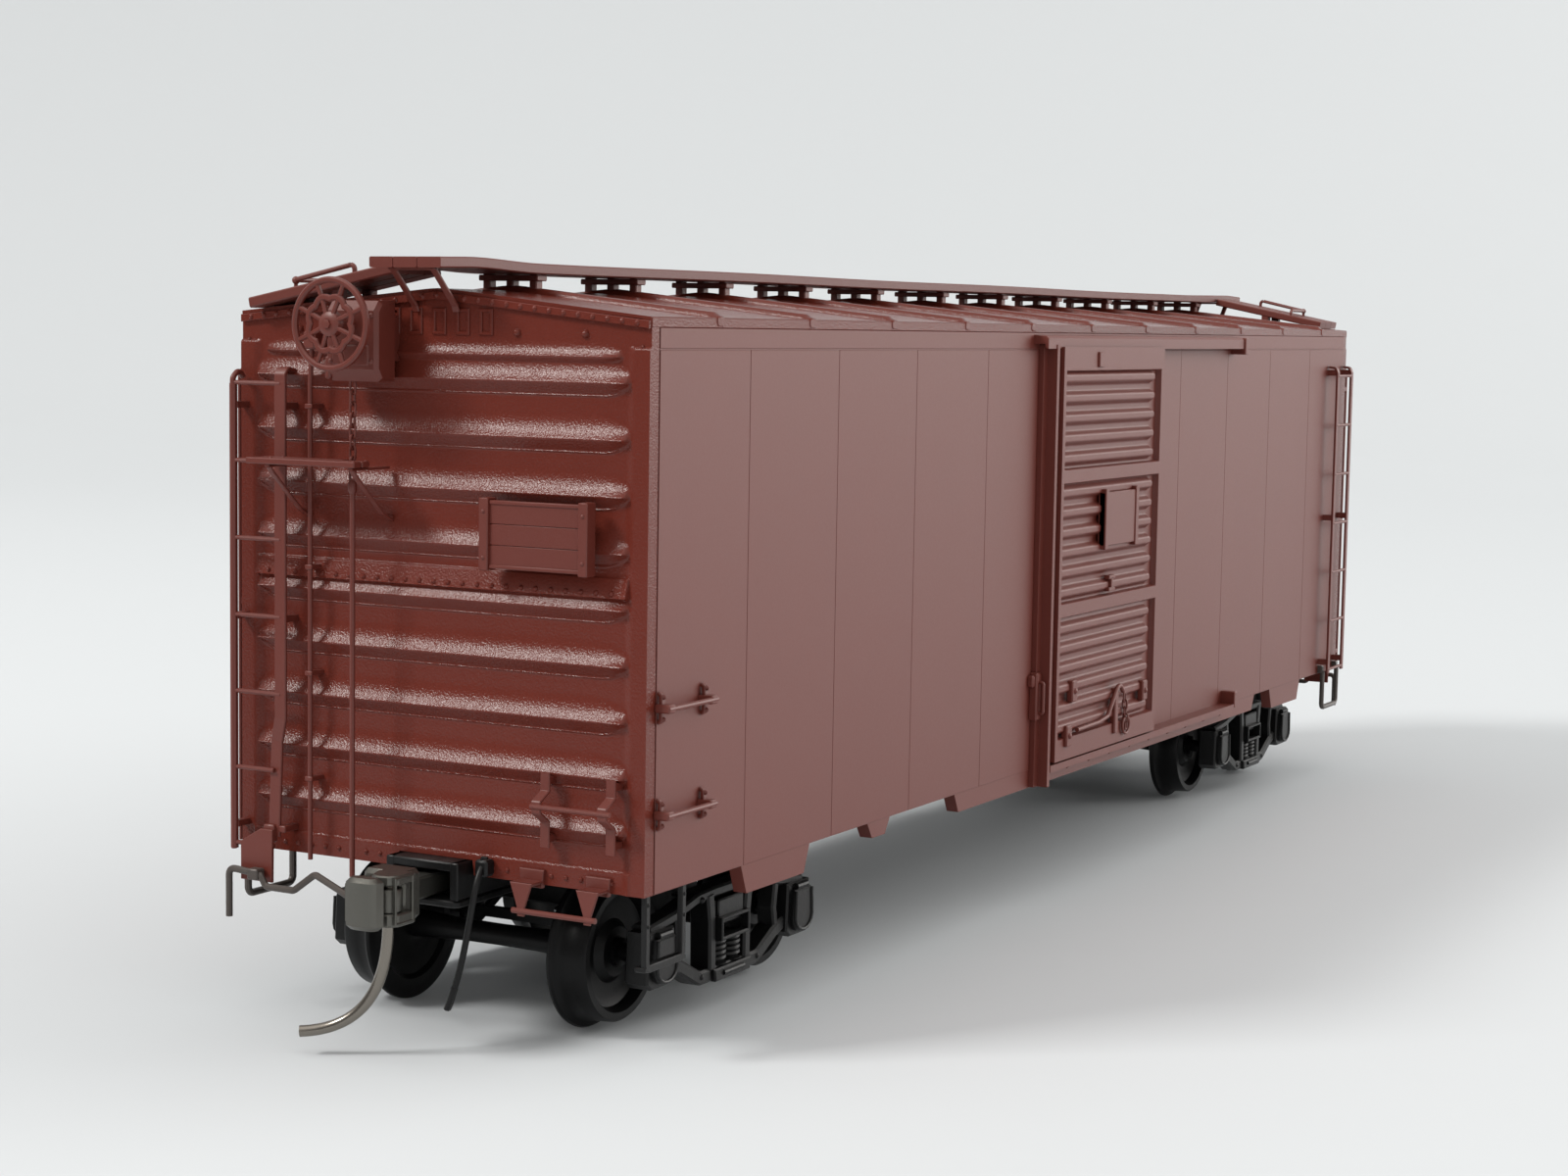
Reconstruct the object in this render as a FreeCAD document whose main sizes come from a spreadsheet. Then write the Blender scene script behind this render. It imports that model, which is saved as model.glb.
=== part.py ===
import FreeCAD, Part
import math
import os
import re
import Sketcher

# HO scale model of a forty-foot steel box car, in millimetres.
# +Z is up, +X runs to the A end, -X to the B end where the hand brake is, and -Y is the right side.
# The origin lies on the surface the wheel flanges stand on, below the middle of the car.

document = FreeCAD.newDocument("BoxCar")
sheet = document.addObject("Spreadsheet::Sheet", "Dims")

DIMENSIONS = (
    # body shell
    ("body_length", 144.6), ("body_width", 32.7), ("side_thickness", 1.0), ("end_thickness", 1.0),
    ("sill_height", 11.2), ("eave_height", 47.4), ("fascia_height", 0.7), ("roof_rise", 1.7),
    ("roof_thickness", 0.8), ("floor_height", 12.2), ("floor_thickness", 1.0),
    ("roof_seam_pitch", 12.74), ("seam_cap_width", 0.9), ("seam_cap_height", 0.35),
    ("rib_pitch", 3.6), ("rib_depth", 0.8), ("rib_width", 2.9), ("rib_crest", 0.5),
    ("corner_strip", 1.6), ("lowest_rib", 14.77), ("seam_band_height", 1.4),
    ("bolster_tab_depth", 2.0), ("bolster_tab_length", 9.8), ("bearer_tab_depth", 1.2),
    ("bearer_tab_length", 3.7), ("bearer_place", 39.2), ("deep_sill_depth", 1.5),
    ("deep_sill_start", 26.0), ("deep_sill_end", 45.4), ("tab_slope", 0.8),
    # doors and tracks
    ("door_opening", 21.0), ("door_width", 22.9), ("door_lap", 0.7), ("door_thickness", 0.7),
    ("door_rib_depth", 0.6), ("door_gap", 0.4), ("door_clearance", 0.2), ("track_height", 0.8),
    ("track_reach", 1.5), ("track_end", 36.0), ("post_width", 0.6), ("door_rib_pitch", 1.67),
    # roof walk
    ("walk_width", 5.7), ("walk_thickness", 0.5), ("walk_height", 51.1), ("walk_overhang", 3.6),
    ("platform_width", 5.6), ("platform_drop", 2.35), ("platform_step", 0.25),
    # trucks
    ("truck_spacing", 110.0), ("wheelbase", 19.25), ("tread_diameter", 9.6), ("flange_depth", 0.6),
    ("back_to_back", 14.4), ("wheel_width", 2.75), ("flange_width", 0.8), ("axle_diameter", 2.0),
    ("axle_length", 25.0), ("journal_diameter", 1.2), ("journal_clearance", 0.1),
    ("frame_inside", 11.2), ("frame_thickness", 1.6), ("journal_box_reach", 13.5),
    ("frame_top", 8.9), ("frame_bottom", 2.2), ("spring_seat", 3.2), ("spring_diameter", 1.9),
    ("bolster_width", 3.8), ("bolster_bottom", 6.3), ("king_screw_diameter", 2.1),
    ("king_clearance", 0.1),
    # couplers
    ("coupler_height", 9.9), ("coupler_reach", 8.7), ("pivot_setback", 5.3), ("head_height", 3.4),
    ("shank_height", 1.5), ("shank_width", 1.4), ("box_width", 5.8), ("box_length", 10.9),
    ("box_wall", 0.6), ("box_reach", 1.6), ("lid_thickness", 0.5), ("pin_diameter", 0.76),
    ("pin_clearance", 0.07), ("box_screw_diameter", 1.0),
    # hand brake and end fittings
    ("brake_wheel_diameter", 6.1), ("brake_wheel_rim", 0.4), ("brake_wheel_height", 47.3),
    ("brake_wheel_place", 4.7), ("brake_shaft_diameter", 0.8), ("brake_stand_off", 5.2),
    ("ladder_foot", 11.7), ("rung_pitch", 5.26), ("rung_diameter", 0.36), ("rung_width", 4.0),
    ("stile_width", 0.8), ("fitting_gap", 0.9), ("wire_diameter", 0.4), ("lever_diameter", 0.6),
    ("train_pipe_diameter", 0.5), ("strap_step_drop", 5.0),
)


def enter_dimensions():
    """Write each size once, as a plain number with its name as alias."""
    for row, (name, number) in enumerate(DIMENSIONS, start=1):
        sheet.set("A%d" % row, name)
        sheet.set("B%d" % row, str(number))
        sheet.setAlias("B%d" % row, name)
    document.recompute()


enter_dimensions()
ALIASES = frozenset(name for name, _number in DIMENSIONS)


def formula(text):
    """Name the sheet in front of each size, as expressions need."""
    def with_sheet(match):
        word = match.group(0)
        return "Dims." + word if word in ALIASES else word
    return re.sub(r"[a-z_]+", with_sheet, str(text))


def value(text):
    """The number that a formula of the sheet's sizes gives now."""
    return float(sheet.evalExpression(formula(text)))


# Places used by many pieces, as formulas of the sheet's sizes.
END_FACE = "(body_length / 2)"
END_INSIDE = "(body_length / 2 - end_thickness)"
SIDE_FACE = "(body_width / 2)"
SIDE_INSIDE = "(body_width / 2 - side_thickness)"
FLOOR_TOP = "(floor_height + floor_thickness)"
RIDGE = "(eave_height + fascia_height + roof_rise)"
RIDGE_INSIDE = "(eave_height + fascia_height + roof_rise - roof_thickness)"
AXLE_HEIGHT = "(flange_depth + tread_diameter / 2)"
COUPLER_CENTRE = "(coupler_height + flange_depth)"
PIVOT = "(body_length / 2 - pivot_setback)"
DOOR_START = "(-door_opening / 2 + door_lap)"
DOOR_BOTTOM = "(sill_height + 0.5)"
DOOR_TOP = "(eave_height - track_height - 0.1 - door_clearance)"
TRUCK = "(truck_spacing / 2)"
RAIL_BOTTOM = "(eave_height - track_height - 0.1)"

nodes = {}


def bind(item, **formulas):
    """Tie properties of a document object to formulas of the sheet's sizes."""
    for name, text in formulas.items():
        item.setExpression(name, formula(text))


def place(item, x="0", y="0", z="0"):
    item.setExpression("Placement.Base.x", formula(x))
    item.setExpression("Placement.Base.y", formula(y))
    item.setExpression("Placement.Base.z", formula(z))
    return item


def box(name, x, y, z, length, width, height):
    """A block with its lowest corner at x, y, z."""
    item = document.addObject("Part::Box", name)
    bind(item, Length=length, Width=width, Height=height)
    return place(item, x, y, z)


AXES = {
    "x": FreeCAD.Rotation(FreeCAD.Vector(0, 1, 0), 90),
    "y": FreeCAD.Rotation(FreeCAD.Vector(1, 0, 0), -90),
    "z": FreeCAD.Rotation(),
}


def cylinder(name, axis, x, y, z, radius, height):
    """A round bar that starts at x, y, z and runs along one axis."""
    item = document.addObject("Part::Cylinder", name)
    bind(item, Radius=radius, Height=height)
    item.Placement.Rotation = AXES[axis]
    return place(item, x, y, z)


def fused(name, pieces):
    item = document.addObject("Part::MultiFuse", name)
    item.Shapes = pieces
    item.Refine = True
    return item


def cut(name, base, tool):
    item = document.addObject("Part::Cut", name)
    item.Base = base
    item.Tool = tool
    return item


def grouped(name, pieces):
    """Separate solids that share a node."""
    item = document.addObject("Part::Compound", name)
    item.Links = pieces
    return item


def turned(name, source):
    """The same piece for the other end or side, turned half round about the car's upright axis."""
    item = document.addObject("Part::Compound", name)
    item.Links = [source]
    item.Placement = FreeCAD.Placement(FreeCAD.Vector(), FreeCAD.Rotation(FreeCAD.Vector(0, 0, 1), 180))
    return item


def shaped(name, shape):
    """A piece whose shape is worked out from the sheet's sizes by this file."""
    item = document.addObject("Part::Feature", name)
    item.Shape = shape
    return item


def node(name, item):
    """Register a finished piece under the name that its file gets."""
    item.Label = name
    nodes[name] = item
    return item


def sketch_outline(body, name, role, points):
    """A closed outline on one of the body's origin planes, each corner tied to two formulas."""
    sketch = body.newObject("Sketcher::SketchObject", name)
    plane = [part for part in body.Origin.OriginFeatures if part.Role == role][0]
    sketch.AttachmentSupport = [(plane, "")]
    sketch.MapMode = "FlatFace"
    corners = [FreeCAD.Vector(value(across), value(up), 0) for across, up in points]
    count = len(corners)
    for index, corner in enumerate(corners):
        sketch.addGeometry(Part.LineSegment(corner, corners[(index + 1) % count]), False)
    for index in range(count):
        sketch.addConstraint(Sketcher.Constraint("Coincident", index, 2, (index + 1) % count, 1))
    for index, (across, up) in enumerate(points):
        spot = corners[index]
        for kind, number, text in (("DistanceX", spot.x, across), ("DistanceY", spot.y, up)):
            row = sketch.addConstraint(Sketcher.Constraint(kind, index, 1, number))
            sketch.setExpression("Constraints[%d]" % row, formula(text))
    return sketch


def padded_body(name, role, points, length, midplane=False):
    """A body made by padding one outline along its plane's normal."""
    body = document.addObject("PartDesign::Body", name)
    outline = sketch_outline(body, name + "_outline", role, points)
    pad = body.newObject("PartDesign::Pad", name + "_pad")
    pad.Profile = outline
    pad.Midplane = midplane
    bind(pad, Length=length)
    return body


def revolved_body(name, points):
    """A turned piece: the outline gives places along the Y axis and radii."""
    body = document.addObject("PartDesign::Body", name)
    outline = sketch_outline(body, name + "_outline", "YZ_Plane", points)
    revolution = body.newObject("PartDesign::Revolution", name + "_turn")
    revolution.Profile = outline
    revolution.ReferenceAxis = (outline, ["H_Axis"])
    revolution.Angle = 360
    return body


def mirrored_points(points):
    """Complete a left half outline, given bottom to top, with its mirror image."""
    return points + [("-(%s)" % across, up) for across, up in reversed(points) if across != "0"]


def vector(x, y, z):
    return FreeCAD.Vector(value(x), value(y), value(z))


def rod(points, diameter, bend):
    """Round wire along straight runs with a tangent arc of radius bend at each inner point."""
    corners = [vector(*point) for point in points]
    edges = []
    start = corners[0]
    for before, corner, after in zip(corners, corners[1:], corners[2:]):
        arriving = (corner - before).normalize()
        leaving = (after - corner).normalize()
        half_turn = arriving.getAngle(leaving) / 2
        reach = bend * math.tan(half_turn)
        first = corner - arriving * reach
        last = corner + leaving * reach
        inward = (leaving - arriving).normalize()
        middle = corner + inward * (bend / math.cos(half_turn) - bend)
        edges.append(Part.LineSegment(start, first).toShape())
        edges.append(Part.Arc(first, middle, last).toShape())
        start = last
    edges.append(Part.LineSegment(start, corners[-1]).toShape())
    path = Part.Wire(edges)
    heading = edges[0].tangentAt(edges[0].FirstParameter)
    ring = Part.Wire([Part.makeCircle(value(diameter) / 2, corners[0], heading)])
    return path.makePipeShell([ring], True, False)


def block(x, y, z, length, width, height):
    """A plain block as a bare shape, for pieces that this file works out."""
    return Part.makeBox(value(length), value(width), value(height), vector(x, y, z))


def prism(points, run):
    """A closed flat outline of points in space, carried along run."""
    corners = [vector(*point) for point in points]
    face = Part.Face(Part.makePolygon(corners + corners[:1]))
    return face.extrude(vector(*run))


def both_ends(name, shapes):
    """Pieces at the B end, and the same turned half round at the A end, as one node."""
    upright = (FreeCAD.Vector(), FreeCAD.Vector(0, 0, 1), 180)
    copies = [shape.copy() for shape in shapes]
    for copy in copies:
        copy.rotate(*upright)
    return node(name, shaped(name, Part.Compound(shapes + copies)))


# ---------------------------------------------------------------- body shell

def tab(centre, length, depth):
    """Four corners of a tab that hangs below the side's lower edge, from -X to +X."""
    low = "sill_height - %s" % depth
    return [("%s - %s / 2" % (centre, length), "sill_height"),
            ("%s - %s / 2 + tab_slope" % (centre, length), low),
            ("%s + %s / 2 - tab_slope" % (centre, length), low),
            ("%s + %s / 2" % (centre, length), "sill_height")]


def make_sides():
    outline = [("-" + END_INSIDE, "eave_height"), ("-" + END_INSIDE, "sill_height")]
    outline += tab("-" + TRUCK, "bolster_tab_length", "bolster_tab_depth")
    outline += tab("-bearer_place", "bearer_tab_length", "bearer_tab_depth")
    outline += [("-deep_sill_start", "sill_height"),
                ("-deep_sill_start + tab_slope", "sill_height - deep_sill_depth"),
                ("deep_sill_end - tab_slope", "sill_height - deep_sill_depth"),
                ("deep_sill_end", "sill_height")]
    outline += tab(TRUCK, "bolster_tab_length", "bolster_tab_depth")
    outline += [(END_INSIDE, "sill_height"), (END_INSIDE, "eave_height")]
    side = padded_body("side_plate", "XZ_Plane", outline, "side_thickness")
    place(side, y="-" + SIDE_INSIDE)
    doorway = sketch_outline(side, "doorway", "XZ_Plane", [
        ("-door_opening / 2", FLOOR_TOP + " + 0.2"), ("door_opening / 2", FLOOR_TOP + " + 0.2"),
        ("door_opening / 2", DOOR_TOP + " - 0.3"), ("-door_opening / 2", DOOR_TOP + " - 0.3")])
    pocket = side.newObject("PartDesign::Pocket", "doorway_pocket")
    pocket.Profile = doorway
    pocket.Type = 1
    pocket.Midplane = True
    side.Tip = pocket
    node("side_right", side)
    node("side_left", turned("side_left", side))


def end_rib(index, height, half_length):
    """A pressed rib: wide on the plate, narrow at its crest, with sloping ends."""
    rib = document.addObject("Part::Wedge", "rib_%d" % index)
    bind(rib, Xmin="-(%s)" % half_length, Xmax=half_length, X2min="-(%s) + rib_width / 2" % half_length,
         X2max="%s - rib_width / 2" % half_length, Ymin="0", Ymax="rib_depth", Zmin="-rib_width / 2",
         Zmax="rib_width / 2", Z2min="-rib_crest / 2", Z2max="rib_crest / 2")
    rib.Placement.Rotation = FreeCAD.Rotation(FreeCAD.Vector(0, 0, 1), 90)
    return place(rib, x="-" + END_FACE, z=height)


def make_ends():
    notch = "(box_width / 2 + 0.1)"
    half = [("-" + notch, "floor_height + 0.05"), ("-" + notch, "sill_height"),
            ("-" + SIDE_FACE, "sill_height"), ("-" + SIDE_FACE, "eave_height"),
            ("-" + SIDE_INSIDE, "eave_height"), ("0", RIDGE_INSIDE)]
    plate = padded_body("end_plate", "YZ_Plane", mirrored_points(half), "end_thickness")
    place(plate, x="-" + END_FACE)
    rib_half = SIDE_FACE + " - corner_strip"
    lower = ["lowest_rib + %d * rib_pitch" % step for step in range(5)]
    upper = ["lowest_rib + %d * rib_pitch" % step for step in range(5, 9)]
    ribs = [end_rib(index, height, rib_half) for index, height in enumerate(lower + upper)]
    band = box("seam_band", "-%s - 0.4" % END_FACE, "-(%s)" % rib_half,
               "lowest_rib + 4.5 * rib_pitch - seam_band_height / 2",
               "0.4", "2 * (%s)" % rib_half, "seam_band_height")
    end = fused("end_fused", [plate, band] + ribs)
    node("end_b", end)
    node("end_a", turned("end_a", end))


def make_roof():
    half = [("-" + SIDE_INSIDE, "eave_height"), ("-" + SIDE_FACE, "eave_height"),
            ("-" + SIDE_FACE, "eave_height + fascia_height"), ("0", RIDGE)]
    outer = half + [("-(%s)" % across, up) for across, up in reversed(half[:-1])]
    outline = outer + [("0", RIDGE_INSIDE)]
    roof = padded_body("roof", "YZ_Plane", outline, "body_length", midplane=True)
    eave_top = "eave_height + fascia_height"
    cap_points = [("-" + SIDE_FACE, eave_top), ("-" + SIDE_FACE, eave_top + " + seam_cap_height"),
                  ("0", RIDGE + " + seam_cap_height"), (SIDE_FACE, eave_top + " + seam_cap_height"),
                  (SIDE_FACE, eave_top), ("0", RIDGE)]
    cap_outline = sketch_outline(roof, "seam_cap_outline", "YZ_Plane", cap_points)
    cap_outline.setExpression("AttachmentOffset.Base.z", formula("-5 * roof_seam_pitch - seam_cap_width / 2"))
    cap = roof.newObject("PartDesign::Pad", "seam_cap")
    cap.Profile = cap_outline
    bind(cap, Length="seam_cap_width")
    document.recompute()
    caps = roof.newObject("PartDesign::LinearPattern", "seam_caps")
    caps.Originals = [cap]
    caps.Direction = (cap_outline, ["N_Axis"])
    caps.Occurrences = 11
    bind(caps, Length="10 * roof_seam_pitch")
    roof.Tip = caps
    node("roof", roof)


def make_underframe():
    """Floor, centre sill, bolsters with their centre plates, and crossbearers in one casting."""
    pieces = [box("floor", "-" + END_INSIDE, "-" + SIDE_INSIDE, "floor_height",
                  "2 * " + END_INSIDE, "2 * " + SIDE_INSIDE, "floor_thickness")]
    sill_half = PIVOT + " - (box_length - %s) - 0.1" % "(pivot_setback + box_reach)"
    pieces.append(box("centre_sill", "-(%s)" % sill_half, "-2.1", "floor_height - 3.0",
                      "2 * (%s)" % sill_half, "4.2", "3.0"))
    for sign in ("-", ""):
        pieces.append(box("bolster_" + ("b" if sign else "a"), "%s%s - 1.7" % (sign, TRUCK),
                          "-" + SIDE_INSIDE, "floor_height - 1.6", "3.4", "2 * " + SIDE_INSIDE, "1.6"))
        pieces.append(cylinder("centre_plate_" + ("b" if sign else "a"), "z", sign + TRUCK, "0",
                               "frame_top + 0.05", "2.6", "floor_height - frame_top - 0.05"))
        for number, spot in enumerate(("bearer_place", "bearer_place / 3")):
            pieces.append(box("bearer_%s%d" % ("b" if sign else "a", number),
                              "%s(%s) - 0.5" % (sign, spot), "-" + SIDE_INSIDE, "floor_height - 1.9",
                              "1.0", "2 * " + SIDE_INSIDE, "1.9"))
    solid = fused("underframe_solid", pieces)
    bores = [cylinder("pipe_way", "x", "-" + END_FACE, "4.6", "floor_height - 0.75",
                      "train_pipe_diameter / 2", "body_length")]
    for sign in ("-", ""):
        bores.append(cylinder("king_bore_" + ("b" if sign else "a"), "z", sign + TRUCK, "0",
                              "frame_top - 1", "king_screw_diameter / 2", "floor_height - frame_top + 0.8"))
        bores.append(cylinder("box_bore_" + ("b" if sign else "a"), "z", sign + PIVOT, "0",
                              "floor_height - 0.5", "box_screw_diameter / 2", "1.0"))
    node("underframe", cut("underframe", solid, grouped("underframe_bores", bores)))


def make_ballast():
    weight = box("ballast_weight", "-48", "-11", FLOOR_TOP, "96", "22", "1.6")
    node("ballast_weight", weight)


# ---------------------------------------------------------------- doors

def make_doors():
    face = "-%s - door_gap - door_thickness" % SIDE_FACE
    rib_face = face + " - door_rib_depth"
    height = "(%s - %s)" % (DOOR_TOP, DOOR_BOTTOM)
    pieces = [box("door_slab", DOOR_START, face, DOOR_BOTTOM, "door_width", "door_thickness", height)]
    for name, low, tall in (("foot", DOOR_BOTTOM, "1.9"), ("joint_low", DOOR_BOTTOM + " + 12.0", "1.3"),
                            ("joint_high", DOOR_BOTTOM + " + 23.2", "1.3"), ("header", DOOR_TOP + " - 2.0", "2.0")):
        pieces.append(box("door_" + name, DOOR_START, rib_face, low, "door_width",
                          "door_rib_depth + 0.1", tall))
    for name, start in (("front", DOOR_START), ("rear", DOOR_START + " + door_width - 0.7")):
        pieces.append(box("door_stile_" + name, start, rib_face, DOOR_BOTTOM, "0.7",
                          "door_rib_depth + 0.1", height))
    panels = ((DOOR_BOTTOM + " + 1.9", 6), (DOOR_BOTTOM + " + 13.3", 6), (DOOR_BOTTOM + " + 24.5", 5))
    for panel, (low, count) in enumerate(panels):
        for step in range(count):
            pieces.append(box("door_rib_%d_%d" % (panel, step), DOOR_START + " + 0.7",
                              face + " - 0.4", "%s + %s * door_rib_pitch + 0.45" % (low, step),
                              "door_width - 2.6", "0.5", "0.75"))
    pieces.append(box("door_placard", DOOR_START + " + 8.4", rib_face + " - 0.1", DOOR_BOTTOM + " + 17.2",
                      "8.0", "0.8", "4.9"))
    pieces.append(box("door_latch", DOOR_START + " + 9.6", rib_face + " - 0.2", DOOR_BOTTOM + " + 1.2",
                      "1.2", "0.9", "3.6"))
    door = fused("door_fused", pieces)
    node("door_right", door)
    node("door_left", turned("door_left", door))


def make_door_tracks():
    """Upper and lower rails, the striking post and the end stops, on the right side and turned."""
    start = "-door_opening / 2 - 2.1"
    reach = "-%s - track_reach" % SIDE_FACE
    run = "track_end + door_opening / 2 + 2.1"
    pieces = [
        box("upper_rail", start, reach, RAIL_BOTTOM, run, "track_reach", "track_height"),
        box("lower_rail", "-door_opening / 2 + 0.2", reach, "sill_height - 0.3",
            "track_end + door_opening / 2 - 0.2", "track_reach", "0.6"),
        box("post", "-door_opening / 2 - post_width + 0.2", "-%s - 1.4" % SIDE_FACE,
            "sill_height - deep_sill_depth", "post_width", "1.4",
            "%s - sill_height + deep_sill_depth" % RAIL_BOTTOM),
        box("upper_stop", "track_end - 0.8", reach, RAIL_BOTTOM + " - 0.9", "0.8", "track_reach", "0.9"),
        box("lower_stop", "track_end - 0.8", reach, "sill_height + 0.3", "0.8", "track_reach", "1.2"),
    ]
    right = fused("right_tracks", pieces)
    node("door_tracks", grouped("door_tracks", [right, turned("left_tracks", right)]))


# ---------------------------------------------------------------- roof walk

def make_roof_walk():
    walk = box("running_board", "-%s - walk_overhang" % END_FACE, "-walk_width / 2", "walk_height",
               "body_length + 2 * walk_overhang", "walk_width", "walk_thickness")
    node("running_board", walk)
    saddles = []
    slope = "roof_rise / %s" % SIDE_FACE
    edge = "(walk_width / 2 - 0.4)"
    cap_ridge = "(%s + seam_cap_height)" % RIDGE
    cap_edge = "(%s - %s * %s)" % (cap_ridge, edge, slope)
    for step in range(-5, 6):
        start = "%d * roof_seam_pitch - 0.6" % step
        saddles.append(prism([(start, "-" + edge, cap_edge), (start, "0", cap_ridge), (start, edge, cap_edge),
                              (start, edge, "walk_height"), (start, "-" + edge, "walk_height")],
                             ("1.2", "0", "0")))
    node("running_board_saddles", shaped("running_board_saddles", Part.Compound(saddles)))
    braces = []
    for spot in ("1.35", "-1.85"):
        braces.append(prism([("-%s - 3.1" % END_FACE, spot, "walk_height"),
                             ("-%s - 2.5" % END_FACE, spot, "walk_height"),
                             ("-" + END_FACE, spot, RIDGE_INSIDE + " - 0.2"),
                             ("-" + END_FACE, spot, RIDGE_INSIDE + " - 0.8")], ("0", "0.5", "0")))
    both_ends("running_board_braces", braces)


def roof_height(place):
    """Height of the roof sheet's top at a distance from the middle."""
    return "(eave_height + fascia_height + roof_rise * (1 - (%s) / %s))" % (place, SIDE_FACE)


PLATFORM_INNER = "(walk_width / 2 + 0.1)"
PLATFORM_OUTER = "(%s - 1.6)" % SIDE_FACE


def platform_height(place):
    """Height of a corner platform's top at a distance from the middle."""
    return "(walk_height + walk_thickness - platform_step - platform_drop * ((%s) - %s) / (%s - %s))" % (
        place, PLATFORM_INNER, PLATFORM_OUTER, PLATFORM_INNER)


def make_corner_platforms():
    """A sloping board from the roof walk down to the eave, with two feet, at two opposite corners."""
    start = "-%s - 1.2" % END_FACE
    corners = [(start, PLATFORM_INNER, platform_height(PLATFORM_INNER)),
               (start, PLATFORM_OUTER, platform_height(PLATFORM_OUTER)),
               (start, PLATFORM_OUTER, platform_height(PLATFORM_OUTER) + " - walk_thickness"),
               (start, PLATFORM_INNER, platform_height(PLATFORM_INNER) + " - walk_thickness")]
    board = prism(corners, ("platform_width", "0", "0"))
    feet = []
    near = PLATFORM_OUTER + " - 0.9"
    far = PLATFORM_OUTER + " - 0.1"
    for foot in (start + " + 1.4", start + " + platform_width - 0.9"):
        feet.append(prism([(foot, near, roof_height(near)), (foot, far, roof_height(far)),
                           (foot, far, platform_height(far) + " - 0.2"),
                           (foot, near, platform_height(near) + " - 0.2")], ("0.8", "0", "0")))
    both_ends("corner_platforms", [board.fuse(feet).removeSplitter()])


def make_roof_grabs():
    """An L-shaped handhold above each corner platform."""
    edge = "-%s - 0.6" % END_FACE
    inner = "(%s - 8.45)" % PLATFORM_OUTER
    outer = "(%s - 3.45)" % PLATFORM_OUTER
    rail_high = platform_height(inner) + " + 0.7"
    rail_low = platform_height(outer) + " + 0.7"
    rail = rod([(edge, inner, platform_height(inner)), (edge, inner, rail_high), (edge, outer, rail_low),
                (edge + " + 4.5", outer, rail_low), (edge + " + 4.5", outer, platform_height(outer))],
               "wire_diameter", 0.45)
    post = Part.makeCylinder(0.25, 0.5, vector(edge + " + 0.3", outer + " - 0.3", platform_height(outer) + " + 0.03"))
    both_ends("roof_grab_irons", [rail.fuse(post).removeSplitter()])


# ---------------------------------------------------------------- end and side fittings

LADDER_PLANE = "(-%s - rib_depth - 0.1)" % END_FACE


def make_ladders():
    stile_run = "6 * rung_pitch + 1.6"
    foot = "ladder_foot - 0.5"
    outer = "%s - 0.1" % SIDE_FACE
    inner = "%s - 0.1 - rung_width - stile_width" % SIDE_FACE
    stiles = [block(LADDER_PLANE + " - 0.8", start, foot, "0.8", "stile_width", stile_run)
              for start in (outer + " - stile_width", inner)]
    rungs = [rod([(LADDER_PLANE + " - 0.5", inner, "ladder_foot + %d * rung_pitch" % step),
                  (LADDER_PLANE + " - 0.5", outer, "ladder_foot + %d * rung_pitch" % step)],
                 "rung_diameter", 0) for step in range(7)]
    valleys = ["lowest_rib + %s * rib_pitch - 0.25" % step for step in (-0.5, 3.5, 7.5)]
    feet = [block(LADDER_PLANE + " - 0.2", start, height, "rib_depth + 0.3", "stile_width - 0.2", "0.5")
            for start in (inner + " + 0.1", outer + " - stile_width + 0.1") for height in valleys]
    gusset = block(LADDER_PLANE + " - 1.0", inner + " - 0.2", "ladder_foot - 2.5", "0.2", "3.0", "3.9")
    end_ladder = stiles[0].fuse([stiles[1], gusset] + rungs + feet).removeSplitter()
    both_ends("end_ladders", [end_ladder])

    plane = "(%s + fitting_gap)" % SIDE_FACE
    left = "-%s + 0.9" % END_FACE
    side_stiles = [block(start, plane, foot, "stile_width", "0.4", stile_run)
                   for start in (left, left + " + rung_width + stile_width")]
    side_rungs = [rod([(left + " + 0.1", plane + " + 0.2", "ladder_foot + %d * rung_pitch" % step),
                       (left + " + rung_width + 2 * stile_width - 0.1", plane + " + 0.2",
                        "ladder_foot + %d * rung_pitch" % step)], "rung_diameter", 0) for step in range(7)]
    pads = [block(start + " + 0.1", SIDE_FACE, height, "stile_width - 0.2", "fitting_gap + 0.1", "0.8")
            for start in (left, left + " + rung_width + stile_width")
            for height in ("ladder_foot + 0.4", "ladder_foot + 3.05 * rung_pitch", "ladder_foot + 6 * rung_pitch")]
    side_ladder = side_stiles[0].fuse([side_stiles[1]] + side_rungs + pads).removeSplitter()
    both_ends("side_ladders", [side_ladder])


def make_side_grabs():
    """Two straight handholds near the B end of the right side, each on two plus-shaped feet."""
    irons = []
    outer = "-%s - 1.0" % SIDE_FACE
    for height in ("16.4", "23.3"):
        bar = rod([("-%s + 0.9" % END_FACE, outer, height), ("-%s + 7.0" % END_FACE, outer, height)],
                  "wire_diameter", 0)
        feet = []
        for spot in ("-%s + 1.0" % END_FACE, "-%s + 6.5" % END_FACE):
            feet.append(block(spot, "-%s - 1.2" % SIDE_FACE, height + " - 0.3", "0.5", "1.2", "0.6"))
            feet.append(block(spot, "-%s - 0.35" % SIDE_FACE, height + " - 1.0", "0.5", "0.35", "2.0"))
        irons.append(bar.fuse(feet).removeSplitter())
    both_ends("side_grab_irons", irons)


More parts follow.
